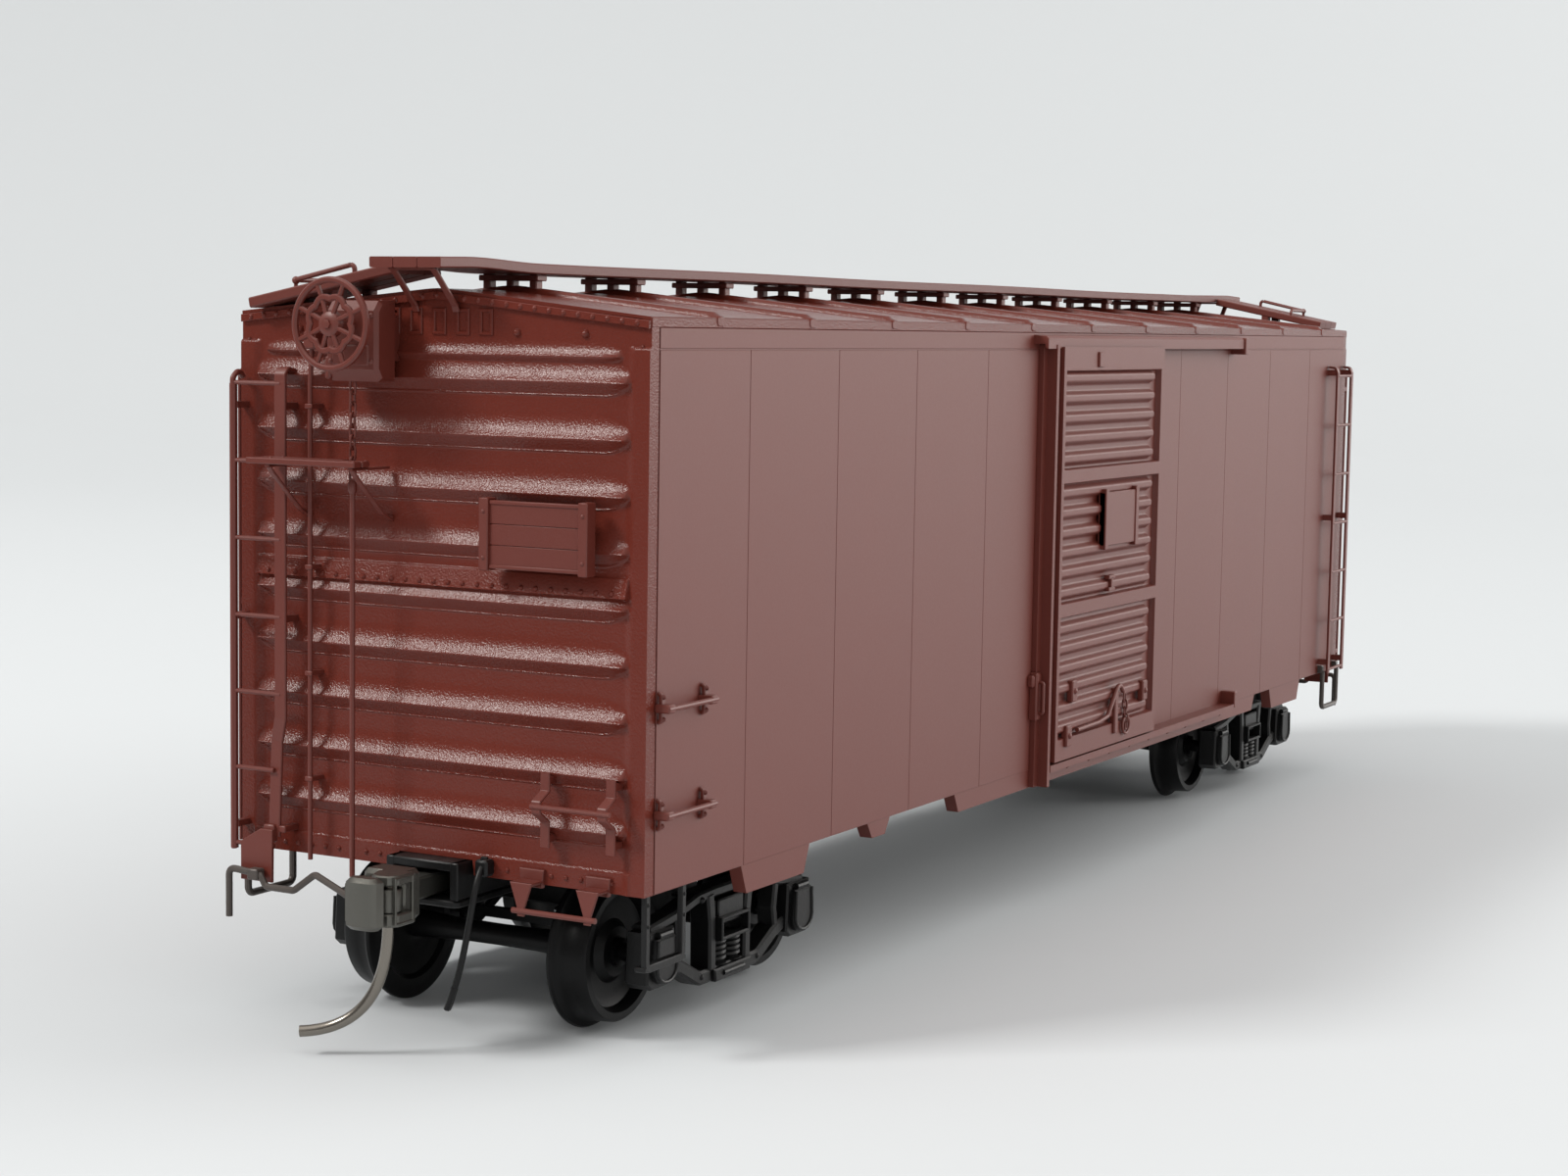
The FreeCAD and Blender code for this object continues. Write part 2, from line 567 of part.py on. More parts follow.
def make_end_handholds():
    """A bar on two cranked straps across the lowest rib crests, and a bar on two brackets below."""
    crest = "(-%s - rib_depth)" % END_FACE
    high = "lowest_rib + rib_pitch"
    upper = [rod([(crest + " - 1.2", "-15.0", high + " - 1.7"), (crest + " - 1.2", "-8.9", high + " - 1.7")],
                 "wire_diameter", 0)]
    for spot in ("-9.7", "-14.7"):
        upper.append(prism([(crest, spot, high + " + 0.2"), (crest + " - 0.35", spot, high + " + 0.2"),
                            (crest + " - 1.4", spot, high + " - 1.2"), (crest + " - 1.4", spot, high + " - 2.3"),
                            (crest + " - 0.35", spot, "lowest_rib - 0.2"), (crest, spot, "lowest_rib - 0.2"),
                            (crest, spot, "lowest_rib + 0.2"), (crest + " - 1.0", spot, high + " - 2.1"),
                            (crest + " - 1.0", spot, high + " - 1.4"), (crest, spot, high + " - 0.2")],
                           ("0", "0.8", "0")))
    lower = [rod([("-%s - 1.5" % END_FACE, "-13.6", "9.6"), ("-%s - 1.5" % END_FACE, "-7.2", "9.6")],
                 "wire_diameter", 0)]
    for spot in ("-13.4", "-8.3"):
        lower.append(prism([("-%s" % END_FACE, spot, "12.4"), ("-%s - 0.3" % END_FACE, spot, "12.4"),
                            ("-%s - 0.3" % END_FACE, spot, "11.3"), ("-%s - 1.7" % END_FACE, spot, "10.1"),
                            ("-%s - 1.7" % END_FACE, spot, "9.3"), ("-%s - 1.35" % END_FACE, spot, "9.3"),
                            ("-%s - 1.35" % END_FACE, spot, "10.0"), ("-%s" % END_FACE, spot, "11.2")],
                           ("0", "0.9", "0")))
    both_ends("end_handholds", [upper[0].fuse(upper[1:]).removeSplitter(),
                                lower[0].fuse(lower[1:]).removeSplitter()])


def make_sill_steps():
    """A wire stirrup below the side ladder's foot, and a strap stirrup at the other two corners."""
    plane = "%s + 0.5" % SIDE_FACE
    front = "-%s + 1.1" % END_FACE
    rear = "-%s + 6.0" % END_FACE
    step = rod([(front, plane, "sill_height + 0.9"), (front, plane, "7.5"),
                (rear, plane, "7.5"), (rear, plane, "sill_height + 0.9")], "lever_diameter", 0.7)
    lugs = [block(spot + " - 0.4", SIDE_FACE, "sill_height", "0.8", "0.6", "0.8") for spot in (front, rear)]
    wire_step = step.fuse(lugs).removeSplitter()
    strap_plane = "-%s + 0.1" % SIDE_FACE
    strap_low = "sill_height - strap_step_drop"
    legs = [block(spot, strap_plane, strap_low, "0.8", "0.4", "strap_step_drop")
            for spot in ("-%s + 0.2" % END_FACE, "-%s + 4.7" % END_FACE)]
    tread = block("-%s + 0.2" % END_FACE, strap_plane, strap_low, "5.3", "0.9", "0.4")
    both_ends("sill_steps", [wire_step, legs[0].fuse([legs[1], tread]).removeSplitter()])


def make_uncoupling_levers():
    """A bent rod from a hanging handle at the corner to the coupler's side."""
    plane = LADDER_PLANE + " - 1.5"
    handle = "%s - 0.75" % SIDE_FACE
    lever = rod([(plane, handle, "6.6"), (plane, handle, "9.9"), (plane, "9.2", "9.6"),
                 (plane + " - 0.4", "4.5", "9.0")], "lever_diameter", 0.8)
    clip = block(plane + " - 0.3", "%s - 4.05" % SIDE_FACE, "9.45", "0.8", "0.9", "0.8")
    both_ends("uncoupling_levers", [lever.fuse(clip).removeSplitter()])


def make_placards():
    """A plain wooden-pattern board on two battens, for each end."""
    board = block(LADDER_PLANE + " - 0.7", "-12.7", "31.9", "0.5", "7.9", "4.2")
    battens = [block(LADDER_PLANE + " - 1.0", spot, "31.6", "1.1", "0.7", "4.8")
               for spot in ("-12.9", "-5.3")]
    both_ends("placard_boards", [board.fuse(battens).removeSplitter()])


# ---------------------------------------------------------------- hand brake

def make_hand_brake():
    """Wheel, gear housing, chain with its rod, step and retainer pipe, all on the B end."""
    face = "(-%s - rib_depth - 0.1)" % END_FACE
    housing = block(face + " - 2.2", "brake_wheel_place - 2.1", "43.6", "2.2", "4.2", "5.3")
    foot = block(face, "brake_wheel_place - 1.6", "45.2", "rib_depth + 0.1", "3.2", "2.4")
    housing = housing.makeFillet(0.4, [edge for edge in housing.Edges if edge.Length > 4])
    bore = Part.makeCylinder(value("brake_shaft_diameter / 2 + 0.05"), 1.2,
                             vector(face + " - 2.3", "brake_wheel_place", "brake_wheel_height"),
                             FreeCAD.Vector(1, 0, 0))
    node("brake_housing", shaped("brake_housing", housing.fuse(foot).removeSplitter().cut(bore)))

    wheel_plane = "-%s - brake_stand_off" % END_FACE
    rim = Part.makeTorus(value("brake_wheel_diameter / 2 - brake_wheel_rim / 2"), value("brake_wheel_rim / 2"),
                         vector(wheel_plane, "brake_wheel_place", "brake_wheel_height"), FreeCAD.Vector(1, 0, 0))
    inner = Part.makeTorus(value("brake_wheel_diameter / 4"), value("brake_wheel_rim / 2 - 0.04"),
                           vector(wheel_plane, "brake_wheel_place", "brake_wheel_height"), FreeCAD.Vector(1, 0, 0))
    hub = Part.makeCylinder(0.75, 0.6, vector(wheel_plane + " - 0.3", "brake_wheel_place", "brake_wheel_height"),
                            FreeCAD.Vector(1, 0, 0))
    shaft = Part.makeCylinder(value("brake_shaft_diameter / 2"), value("brake_stand_off - rib_depth - 0.1 - 1.2"),
                              vector(wheel_plane, "brake_wheel_place", "brake_wheel_height"),
                              FreeCAD.Vector(1, 0, 0))
    spokes = []
    for turn in range(8):
        angle = turn * math.pi / 4 + math.pi / 8
        centre = vector(wheel_plane, "brake_wheel_place", "brake_wheel_height")
        outward = FreeCAD.Vector(0, math.cos(angle), math.sin(angle))
        spokes.append(Part.makeCylinder(0.15, value("brake_wheel_diameter / 2 - brake_wheel_rim / 2"),
                                        centre, outward))
    node("brake_wheel", shaped("brake_wheel", hub.fuse([rim, inner, shaft] + spokes)))

    chain_place = "brake_wheel_place + 0.3"
    rod_plane = face + " - 1.6"
    links = [Part.makeCylinder(0.3, 5.0, vector(rod_plane, chain_place, "38.6"))]
    links.append(Part.makeCylinder(0.2, 28.0, vector(rod_plane, chain_place, "10.6")))
    node("brake_chain", shaped("brake_chain", links[0].fuse(links[1]).removeSplitter()))

    board = block(face + " - 3.7", "3.3", "38.0", "2.7", "9.0", "0.45")
    slot = block(rod_plane + " - 0.5", chain_place + " - 0.5", "37.9", "1.0", "1.0", "0.7")
    valley = "lowest_rib + 5.5 * rib_pitch"
    braces = [prism([(face + " - 3.4", spot, "38.0"), (face + " - 2.8", spot, "38.0"),
                     ("-" + END_FACE, spot, valley + " + 0.3"), ("-" + END_FACE, spot, valley + " - 0.3")],
                    ("0", "0.45", "0")) for spot in ("3.5", "10.4")]
    arms = [block(face + " - 1.4", spot, "37.95", "1.4 + rib_depth + 0.1", "0.45", "0.45")
            for spot in ("3.5", "10.4")]
    node("brake_step", shaped("brake_step", board.cut(slot).fuse(braces + arms).removeSplitter()))

    pipe = rod([(face + " - 0.1", "9.7", "11.0"), (face + " - 0.1", "9.7", "43.0"),
                (face + " - 0.1", "9.4", "46.2")], "wire_diameter", 0.5)
    valve = block(face + " - 0.7", "8.9", "45.6", "0.7 + rib_depth + 0.1", "1.0", "1.2")
    node("retainer_pipe", shaped("retainer_pipe", pipe.fuse(valve).removeSplitter()))


# ---------------------------------------------------------------- air brake below the floor

def make_air_brake():
    cylinder_centre = "floor_height - 2.1"
    body = cylinder("brake_cylinder_body", "x", "-25", "8", cylinder_centre, "1.5", "6.5")
    neck = cylinder("brake_cylinder_neck", "x", "-18.5", "8", cylinder_centre, "0.5", "2.0")
    seat = box("brake_cylinder_seat", "-24", "7", cylinder_centre, "4.5", "2", "2.1")
    node("brake_cylinder", fused("brake_cylinder_fused", [body, neck, seat]))
    tank = cylinder("air_tank", "x", "17", "-8", cylinder_centre, "1.7", "11")
    straps = [box("tank_strap_%d" % index, spot, "-8.9", cylinder_centre, "0.8", "1.8", "2.1")
              for index, spot in enumerate(("18.5", "25.5"))]
    node("air_reservoir", fused("air_reservoir_fused", [tank] + straps))
    valve_body = box("valve_body", "4.5", "7.2", "floor_height - 2.6", "3.4", "2.6", "2.6")
    valve_cap = cylinder("valve_cap", "x", "7.9", "8.5", "floor_height - 1.5", "0.9", "1.2")
    node("control_valve", fused("control_valve_fused", [valve_body, valve_cap]))
    lever = block("-16.4", "6.6", "9.6", "0.6", "4.6", "0.6")
    pull = rod([("-16.1", "11.0", "9.9"), ("4.0", "11.0", "9.9"), ("33.0", "7.0", "9.9")], "wire_diameter", 2.0)
    hanger = block("32.6", "6.8", "9.7", "0.5", "0.5", "floor_height - 9.7")
    node("brake_rigging", shaped("brake_rigging", lever.fuse([pull, hanger]).removeSplitter()))
    pipe = cylinder("brake_pipe", "x", "-%s + 0.6" % END_INSIDE, "4.6", "floor_height - 0.75",
                    "train_pipe_diameter / 2", "2 * %s - 1.2" % END_INSIDE)
    node("brake_pipe", pipe)
    hose = rod([("-%s - 0.6" % END_FACE, "-4.3", "12.6"), ("-%s - 1.6" % END_FACE, "-4.3", "9.0"),
                ("-%s - 1.9" % END_FACE, "-3.6", "5.0"), ("-%s - 2.1" % END_FACE, "-2.5", "1.7")],
               "lever_diameter", 2.0)
    cock = block("-%s - 0.9" % END_FACE, "-4.8", "11.4", "0.9", "1.0", "1.1")
    both_ends("air_hoses", [hose.fuse(cock).removeSplitter()])


# ---------------------------------------------------------------- trucks

def wheel_outline():
    """Half section of one wheel, from its back face outward: place along the axle, and radius."""
    back = "back_to_back / 2"
    tread = "tread_diameter / 2"
    bore = "axle_diameter / 2"
    return [(back, bore), (back, tread), (back + " + 0.15", tread + " + flange_depth"),
            (back + " + flange_width - 0.35", tread + " + flange_depth"), (back + " + flange_width", tread),
            (back + " + wheel_width", tread + " - 0.08"), (back + " + wheel_width", tread + " - 0.75"),
            (back + " + wheel_width - 0.75", tread + " - 0.95"), (back + " + wheel_width - 0.95", "2.2"),
            (back + " + wheel_width - 0.5", "1.7"), (back + " + wheel_width - 0.5", bore)]


def make_wheelset(name, x):
    near = revolved_body(name + "_wheel_near", wheel_outline())
    far = turned(name + "_wheel_far", near)
    wheels = grouped(name + "_wheels", [near, far])
    node(name + "_wheels", place(wheels, x, "0", AXLE_HEIGHT))
    tip = "axle_length / 2"
    half = [("-(%s)" % tip, "0"), ("-(%s) + 1.1" % tip, "journal_diameter / 2"),
            ("-back_to_back / 2 - wheel_width", "journal_diameter / 2"),
            ("-back_to_back / 2 - wheel_width", "axle_diameter / 2")]
    outline = half + [("-(%s)" % along, radius) for along, radius in reversed(half)]
    axle = revolved_body(name + "_axle", outline)
    node(name + "_axle", place(axle, x, "0", AXLE_HEIGHT))


def sideframe_shape(side):
    """Cast side frame: arched top member, tension member, two columns and two journal boxes."""
    axle = value("wheelbase / 2")
    top = value("frame_top")
    low = value("frame_bottom")
    centre = value(AXLE_HEIGHT)
    journal_top = centre + 1.9
    journal_low = centre - 1.6
    reach = axle + 2.3
    inside = value("frame_inside")
    column = value("bolster_width / 2 + 0.9")
    window = value("bolster_width / 2 + 0.1")

    def flat(points, start, thick):
        corners = [FreeCAD.Vector(x, start, z) for x, z in points]
        return Part.Face(Part.makePolygon(corners + corners[:1])).extrude(FreeCAD.Vector(0, thick, 0))

    right = [(0, top), (column + 0.9, top), (axle - 2.6, journal_top + 0.6), (reach - 0.8, journal_top - 0.1),
             (reach - 0.8, journal_low), (axle - 2.0, journal_low), (column + 1.2, low), (0, low)]
    outline = right + [(-x, z) for x, z in reversed(right[1:-1])]
    frame = flat(outline, inside, value("frame_thickness"))
    windows = [flat([(-window, value("spring_seat")), (window, value("spring_seat")), (window, top - 0.9),
                     (-window, top - 0.9)], inside - 1, 5)]
    for sign in (1, -1):
        windows.append(flat([(sign * (column + 0.2), low + 1.4), (sign * (column + 0.2), top - 1.2),
                             (sign * (axle - 2.9), journal_top - 0.4), (sign * (axle - 2.9), journal_low + 0.3)],
                            inside - 1, 5))
    frame = frame.cut(Part.Compound(windows))
    boxes = []
    bearings = []
    clearance = value("journal_clearance")
    for sign in (1, -1):
        length = value("journal_box_reach") - inside
        boxes.append(Part.makeBox(3.4, length, journal_top - journal_low,
                                  FreeCAD.Vector(sign * axle - 1.7, inside, journal_low)))
        radius = value("journal_diameter / 2") + clearance
        tip = value("axle_length / 2") - inside
        hole = FreeCAD.Vector(sign * axle, inside, centre)
        bearings.append(Part.makeCylinder(radius, tip - 1.1, hole, FreeCAD.Vector(0, 1, 0)))
        bearings.append(Part.makeCone(radius, 0.05, 1.1 + clearance, hole + FreeCAD.Vector(0, tip - 1.1, 0),
                                      FreeCAD.Vector(0, 1, 0)))
    frame = frame.fuse(boxes).removeSplitter().cut(bearings)
    if side < 0:
        frame = frame.mirror(FreeCAD.Vector(), FreeCAD.Vector(0, 1, 0))
    return frame


def make_truck(name, x):
    inside = value("frame_inside")
    spot = vector(x, "0", "0")
    frames = Part.Compound([sideframe_shape(1), sideframe_shape(-1)])
    frames.translate(spot)
    node(name + "_sideframes", shaped(name + "_sideframes", frames))

    half = value("bolster_width / 2")
    bottom = value("bolster_bottom")
    top = value("frame_top")
    reach = value("journal_box_reach") - 0.2
    beam = Part.makeBox(2 * half, 2 * reach, top - 0.95 - bottom, FreeCAD.Vector(-half, -reach, bottom))
    middle = Part.makeBox(2 * half, 2 * inside - 4, top - bottom + 0.3, FreeCAD.Vector(-half, 2 - inside, bottom - 0.3))
    bore = Part.makeCylinder(value("king_screw_diameter / 2 + king_clearance"), 6, FreeCAD.Vector(0, 0, bottom - 2))
    bolster = beam.fuse(middle).removeSplitter().cut(bore)
    bolster.translate(spot)
    node(name + "_bolster", shaped(name + "_bolster", bolster))

    springs = []
    seat = value("spring_seat")
    radius = value("spring_diameter / 2")
    depth = inside + value("frame_thickness / 2")
    for across in (-radius - 0.02, radius + 0.02):
        for along in (-depth, depth):
            springs.append(Part.makeCylinder(radius, bottom - seat, FreeCAD.Vector(across, along, seat)))
    springs = Part.Compound(springs)
    springs.translate(spot)
    node(name + "_springs", shaped(name + "_springs", springs))

    beams = []
    tread_edge = value("wheelbase / 2 - tread_diameter / 2 - 0.3")
    shoe_from = value("back_to_back / 2 + flange_width + 0.25")
    for sign in (-1, 1):
        bar = Part.makeBox(0.7, 2 * shoe_from + 2.2, 0.8,
                           FreeCAD.Vector(sign * (tread_edge - 0.9) - 0.35, -shoe_from - 1.1, 5.0))
        shoes = [Part.makeBox(0.8, 1.2, 3.0, FreeCAD.Vector(sign * (tread_edge - 0.4) - 0.4, start, 3.9))
                 for start in (-shoe_from - 1.2, shoe_from)]
        hangers = []
        for start in (-6.3, 5.7):
            hangers.append(Part.makeBox(0.7, 0.6, bottom + 0.6 - 5.7,
                                        FreeCAD.Vector(sign * (tread_edge - 0.9) - 0.35, start, 5.7)))
            across = sorted((sign * half, sign * (tread_edge - 0.6)))
            hangers.append(Part.makeBox(across[1] - across[0], 0.6, 0.5, FreeCAD.Vector(across[0], start, bottom + 0.1)))
        beams.append(bar.fuse(shoes + hangers).removeSplitter())
    beams = Part.Compound(beams)
    beams.translate(spot)
    node(name + "_brake_beams", shaped(name + "_brake_beams", beams))
    for end, sign in (("outer", "-"), ("inner", "+")):
        along = "%s %s wheelbase / 2" % (x, sign if name.endswith("b") else ("-" if sign == "+" else "+"))
        make_wheelset("%s_%s" % (name, end), along)


def make_trucks():
    make_truck("truck_b", "-" + TRUCK)
    make_truck("truck_a", TRUCK)


# ---------------------------------------------------------------- couplers

PIN = "(body_length / 2 + coupler_reach - 2.3)"


def make_couplers():
    centre = COUPLER_CENTRE
    tall = "shank_height"
    eye = cylinder("eye", "z", "-" + PIVOT, "0", centre + " - shank_height / 2", "1.7", tall)
    shank = box("shank", "-(%s) + 1.2" % PIN, "-shank_width / 2", centre + " - shank_height / 2",
                "%s - %s - 2.2" % (PIN, PIVOT), "shank_width", tall)
    root_block = box("head_root", "-(%s) + 1.3" % PIN, "-1.6", centre + " - head_height / 2", "2.0", "3.3",
                     "head_height")
    guard = box("guard", "-(%s) - 1.5" % PIN, "1.0", centre + " - head_height / 2 + 0.1", "3.0", "0.9",
                "head_height - 0.8")
    lugs = []
    for name, low in (("low", centre + " - head_height / 2"), ("high", centre + " + shank_height / 2 + 0.1")):
        lugs.append(cylinder("lug_disc_" + name, "z", "-" + PIN, "-0.9", low, "1.15",
                             "head_height / 2 - shank_height / 2 - 0.1"))
        lugs.append(box("lug_" + name, "-" + PIN, "-1.6", low, "1.5", "1.9",
                        "head_height / 2 - shank_height / 2 - 0.1"))
    solid = fused("coupler_solid", [shank, eye, root_block, guard] + lugs)
    eye_bore = cylinder("eye_bore", "z", "-" + PIVOT, "0", centre + " - 3", "0.9 + 0.1", "6")
    pin_bore = cylinder("pin_bore", "z", "-" + PIN, "-0.9", centre + " - 3", "pin_diameter / 2 + pin_clearance", "6")
    coupler = cut("coupler_cut", solid, grouped("coupler_bores", [eye_bore, pin_bore]))
    node("coupler_b", coupler)
    node("coupler_a", turned("coupler_a", coupler))

    hub = cylinder("knuckle_hub", "z", "-" + PIN, "-0.9", centre + " - shank_height / 2", "0.95", tall)
    arm = box("knuckle_arm", "-(%s) - 1.5" % PIN, "-1.5", centre + " - shank_height / 2", "1.5", "1.2", tall)
    front = box("knuckle_front", "-(%s) - 2.3" % PIN, "-1.55", centre + " - head_height / 2", "1.0", "2.3",
                "head_height")
    knuckle_solid = fused("knuckle_solid", [hub, arm, front])
    hub_bore = cylinder("hub_bore", "z", "-" + PIN, "-0.9", centre + " - 3", "pin_diameter / 2", "6")
    knuckle = cut("knuckle_cut", knuckle_solid, hub_bore)
    node("knuckle_b", knuckle)
    node("knuckle_a", turned("knuckle_a", knuckle))

    pin = shaped("pin_wire", rod([("-" + PIN, "-0.9", centre + " + head_height / 2 - 0.1"),
                                  ("-" + PIN, "-0.9", "5.0"),
                                  ("-(%s) - 1.5" % PIN, "1.9", "2.1"),
                                  ("-(%s) - 2.5" % PIN, "4.6", "1.5")], "pin_diameter", 1.9))
    node("trip_pin_b", pin)
    node("trip_pin_a", turned("trip_pin_a", pin))

    coil = cylinder("knuckle_coil", "x", "-(%s) - 1.2" % PIN, "0.5", centre, "0.33", "2.4")
    node("knuckle_spring_b", coil)
    node("knuckle_spring_a", turned("knuckle_spring_a", coil))


def make_coupler_boxes():
    """Draft boxes under the floor: a channel with a pivot post, a lid below, and screws."""
    front = "-%s - box_reach" % END_FACE
    low = "%s - shank_height / 2 - 0.1" % COUPLER_CENTRE
    shell = box("box_shell", front, "-box_width / 2", low, "box_length", "box_width", "floor_height - (%s)" % low)
    hollow = box("box_hollow", front + " - 1", "-box_width / 2 + box_wall", low + " - 1",
                 "box_length + 1 - box_wall", "box_width - 2 * box_wall",
                 "1 + shank_height + 0.2")
    channel = cut("box_channel", shell, hollow)
    post = cylinder("box_post", "z", "-" + PIVOT, "0", low, "0.9", "shank_height + 0.3")
    with_post = fused("box_with_post", [channel, post])
    screw_way = cylinder("box_screw_way", "z", "-" + PIVOT, "0", low + " - 2", "box_screw_diameter / 2", "8")
    coupler_box = cut("coupler_box", with_post, screw_way)
    node("coupler_boxes", grouped("coupler_boxes", [coupler_box, turned("coupler_box_far", coupler_box)]))
    lid_plate = box("lid_plate", front, "-box_width / 2", low + " - lid_thickness", "box_length", "box_width",
                    "lid_thickness")
    lid_way = cylinder("lid_way", "z", "-" + PIVOT, "0", low + " - 2", "box_screw_diameter / 2", "4")
    lid = cut("lid", lid_plate, lid_way)
    node("coupler_box_lids", grouped("coupler_box_lids", [lid, turned("lid_far", lid)]))
    box_screw = fused("box_screw", [
        cylinder("box_screw_head", "z", "-" + PIVOT, "0", low + " - lid_thickness - 0.5", "1.0", "0.5"),
        cylinder("box_screw_stem", "z", "-" + PIVOT, "0", low + " - lid_thickness - 0.1",
                 "box_screw_diameter / 2", "floor_height + 0.4 - (%s) + lid_thickness" % low)])
    king_screw = fused("king_screw", [
        cylinder("king_head", "z", "-" + TRUCK, "0", "bolster_bottom - 1.4", "1.7", "1.0"),
        cylinder("king_stem", "z", "-" + TRUCK, "0", "bolster_bottom - 0.5", "king_screw_diameter / 2",
                 "floor_height - 0.3 - bolster_bottom + 0.5")])
    pair = [box_screw, king_screw]
    node("mounting_screws", grouped("mounting_screws", pair + [turned(item.Name + "_far", item) for item in pair]))


# ---------------------------------------------------------------- build, check and write

def check_document():
    """Stop if any object failed, or any finished piece is empty, invalid or not solid."""
    for item in document.Objects:
        if "Invalid" in item.State or "Error" in item.State:
            raise RuntimeError("object failed: " + item.Name)
    for name, item in nodes.items():
        shape = item.Shape
        if shape.isNull() or not shape.isValid() or not shape.Solids:
            raise RuntimeError("bad shape: " + name)


def write_parts():
    os.makedirs("parts", exist_ok=True)
    for name, item in nodes.items():
        item.Shape.exportStep(os.path.join("parts", name + ".step"))
        print(name, len(item.Shape.Solids), round(item.Shape.Volume, 3))


make_sides()
make_ends()
make_roof()
make_underframe()
make_ballast()
make_doors()
make_door_tracks()
make_roof_walk()
make_corner_platforms()
make_roof_grabs()
make_ladders()
make_side_grabs()
make_end_handholds()
make_sill_steps()
make_uncoupling_levers()
make_placards()
make_hand_brake()
make_air_brake()
make_trucks()
make_couplers()
make_coupler_boxes()
document.recompute()
check_document()
write_parts()
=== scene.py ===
import math

import bpy
import numpy as np
from mathutils import Matrix, Vector


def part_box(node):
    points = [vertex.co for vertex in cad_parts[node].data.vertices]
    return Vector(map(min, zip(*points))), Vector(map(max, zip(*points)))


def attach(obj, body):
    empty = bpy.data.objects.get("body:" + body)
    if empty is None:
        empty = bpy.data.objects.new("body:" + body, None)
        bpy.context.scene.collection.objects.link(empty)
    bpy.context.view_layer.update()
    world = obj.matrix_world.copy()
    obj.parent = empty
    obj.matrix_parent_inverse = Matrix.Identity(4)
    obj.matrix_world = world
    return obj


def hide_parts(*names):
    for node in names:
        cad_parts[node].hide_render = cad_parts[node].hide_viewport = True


bl_info = {
    "name": "Model box car",
    "version": (1, 0, 0),
    "blender": (4, 5, 0),
    "location": "View3D > Sidebar > Box Car",
    "description": "Builds the visible pieces of a scale model box car around its packed frame",
    "category": "Object",
}

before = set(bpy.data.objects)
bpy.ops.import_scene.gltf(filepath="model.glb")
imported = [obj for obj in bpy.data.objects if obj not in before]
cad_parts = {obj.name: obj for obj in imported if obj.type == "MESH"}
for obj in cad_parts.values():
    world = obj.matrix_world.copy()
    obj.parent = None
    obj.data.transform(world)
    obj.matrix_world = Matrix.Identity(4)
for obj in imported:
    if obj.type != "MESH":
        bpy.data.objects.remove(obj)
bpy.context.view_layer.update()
MM = 0.001
CAR = "car"
HALF_TURN = np.diag([-1.0, -1.0, 1.0])


def corners(node):
    """Lowest and highest corner of a CAD node, in millimetres."""
    low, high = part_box(node)
    return np.array(low) / MM, np.array(high) / MM


# Places that many pieces share, in millimetres, read from the frame.
END_LOW = corners("end_b")[0]
ROOF_LOW = corners("roof")[0]
WALK_LOW, WALK_HIGH = corners("running_board")
DOOR_LOW, DOOR_HIGH = corners("door_right")
END_X = ROOF_LOW[0]
SIDE_Y = corners("side_right")[0][1]
HALF_WIDTH = -SIDE_Y
SILL_Z = END_LOW[2]
EAVE_Z = ROOF_LOW[2]

# Sizes that several pieces share, in millimetres.
ROOF_FALL = 1.7
FASCIA_Z = EAVE_Z + 0.7
RIDGE_Z = FASCIA_Z + ROOF_FALL
ROOF_SEAM_PITCH = 12.74
ROOF_SEAMS = ROOF_SEAM_PITCH * np.arange(-5, 6)
RIB_COUNT = 9
RIB_LINE = 15.08
RIB_PITCH = 3.6
RIB_SLOPE = 1.76
RIB_FOOT = 0.82
RUNGS = 11.7 + 5.26 * np.arange(7)
BOLSTER_X = 55.0
FRAME_Y = 12.0
AXLE_Z = 5.4
HALF_BASE = 19.25 / 2
COUPLER_PIVOT_X = -67.0


# ------------------------------------------------------------------ sizes and colours


class BoxCarSizes(bpy.types.PropertyGroup):
    """Sizes of fine details, in metres."""

    rib_height: bpy.props.FloatProperty(
        name="End rib height", description="How far a pressed rib stands out of the end sheet",
        default=0.00062, unit="LENGTH", precision=6)
    rivet_radius: bpy.props.FloatProperty(
        name="Rivet radius", description="Radius of a rivet head",
        default=0.0002, unit="LENGTH", precision=6)
    seam_height: bpy.props.FloatProperty(
        name="Roof seam height", description="Height of a roof seam cap above the roof sheet",
        default=0.00036, unit="LENGTH", precision=6)
    wire_radius: bpy.props.FloatProperty(
        name="Wire radius", description="Radius of the thin wire of rungs",
        default=0.00016, unit="LENGTH", precision=6)
    sheet_gap: bpy.props.FloatProperty(
        name="Side sheet gap", description="Width of the line between two side sheets",
        default=0.00004, unit="LENGTH", precision=6)
    floor_size: bpy.props.FloatProperty(
        name="Floor size", description="Length of each edge of the studio floor",
        default=6.0, unit="LENGTH")


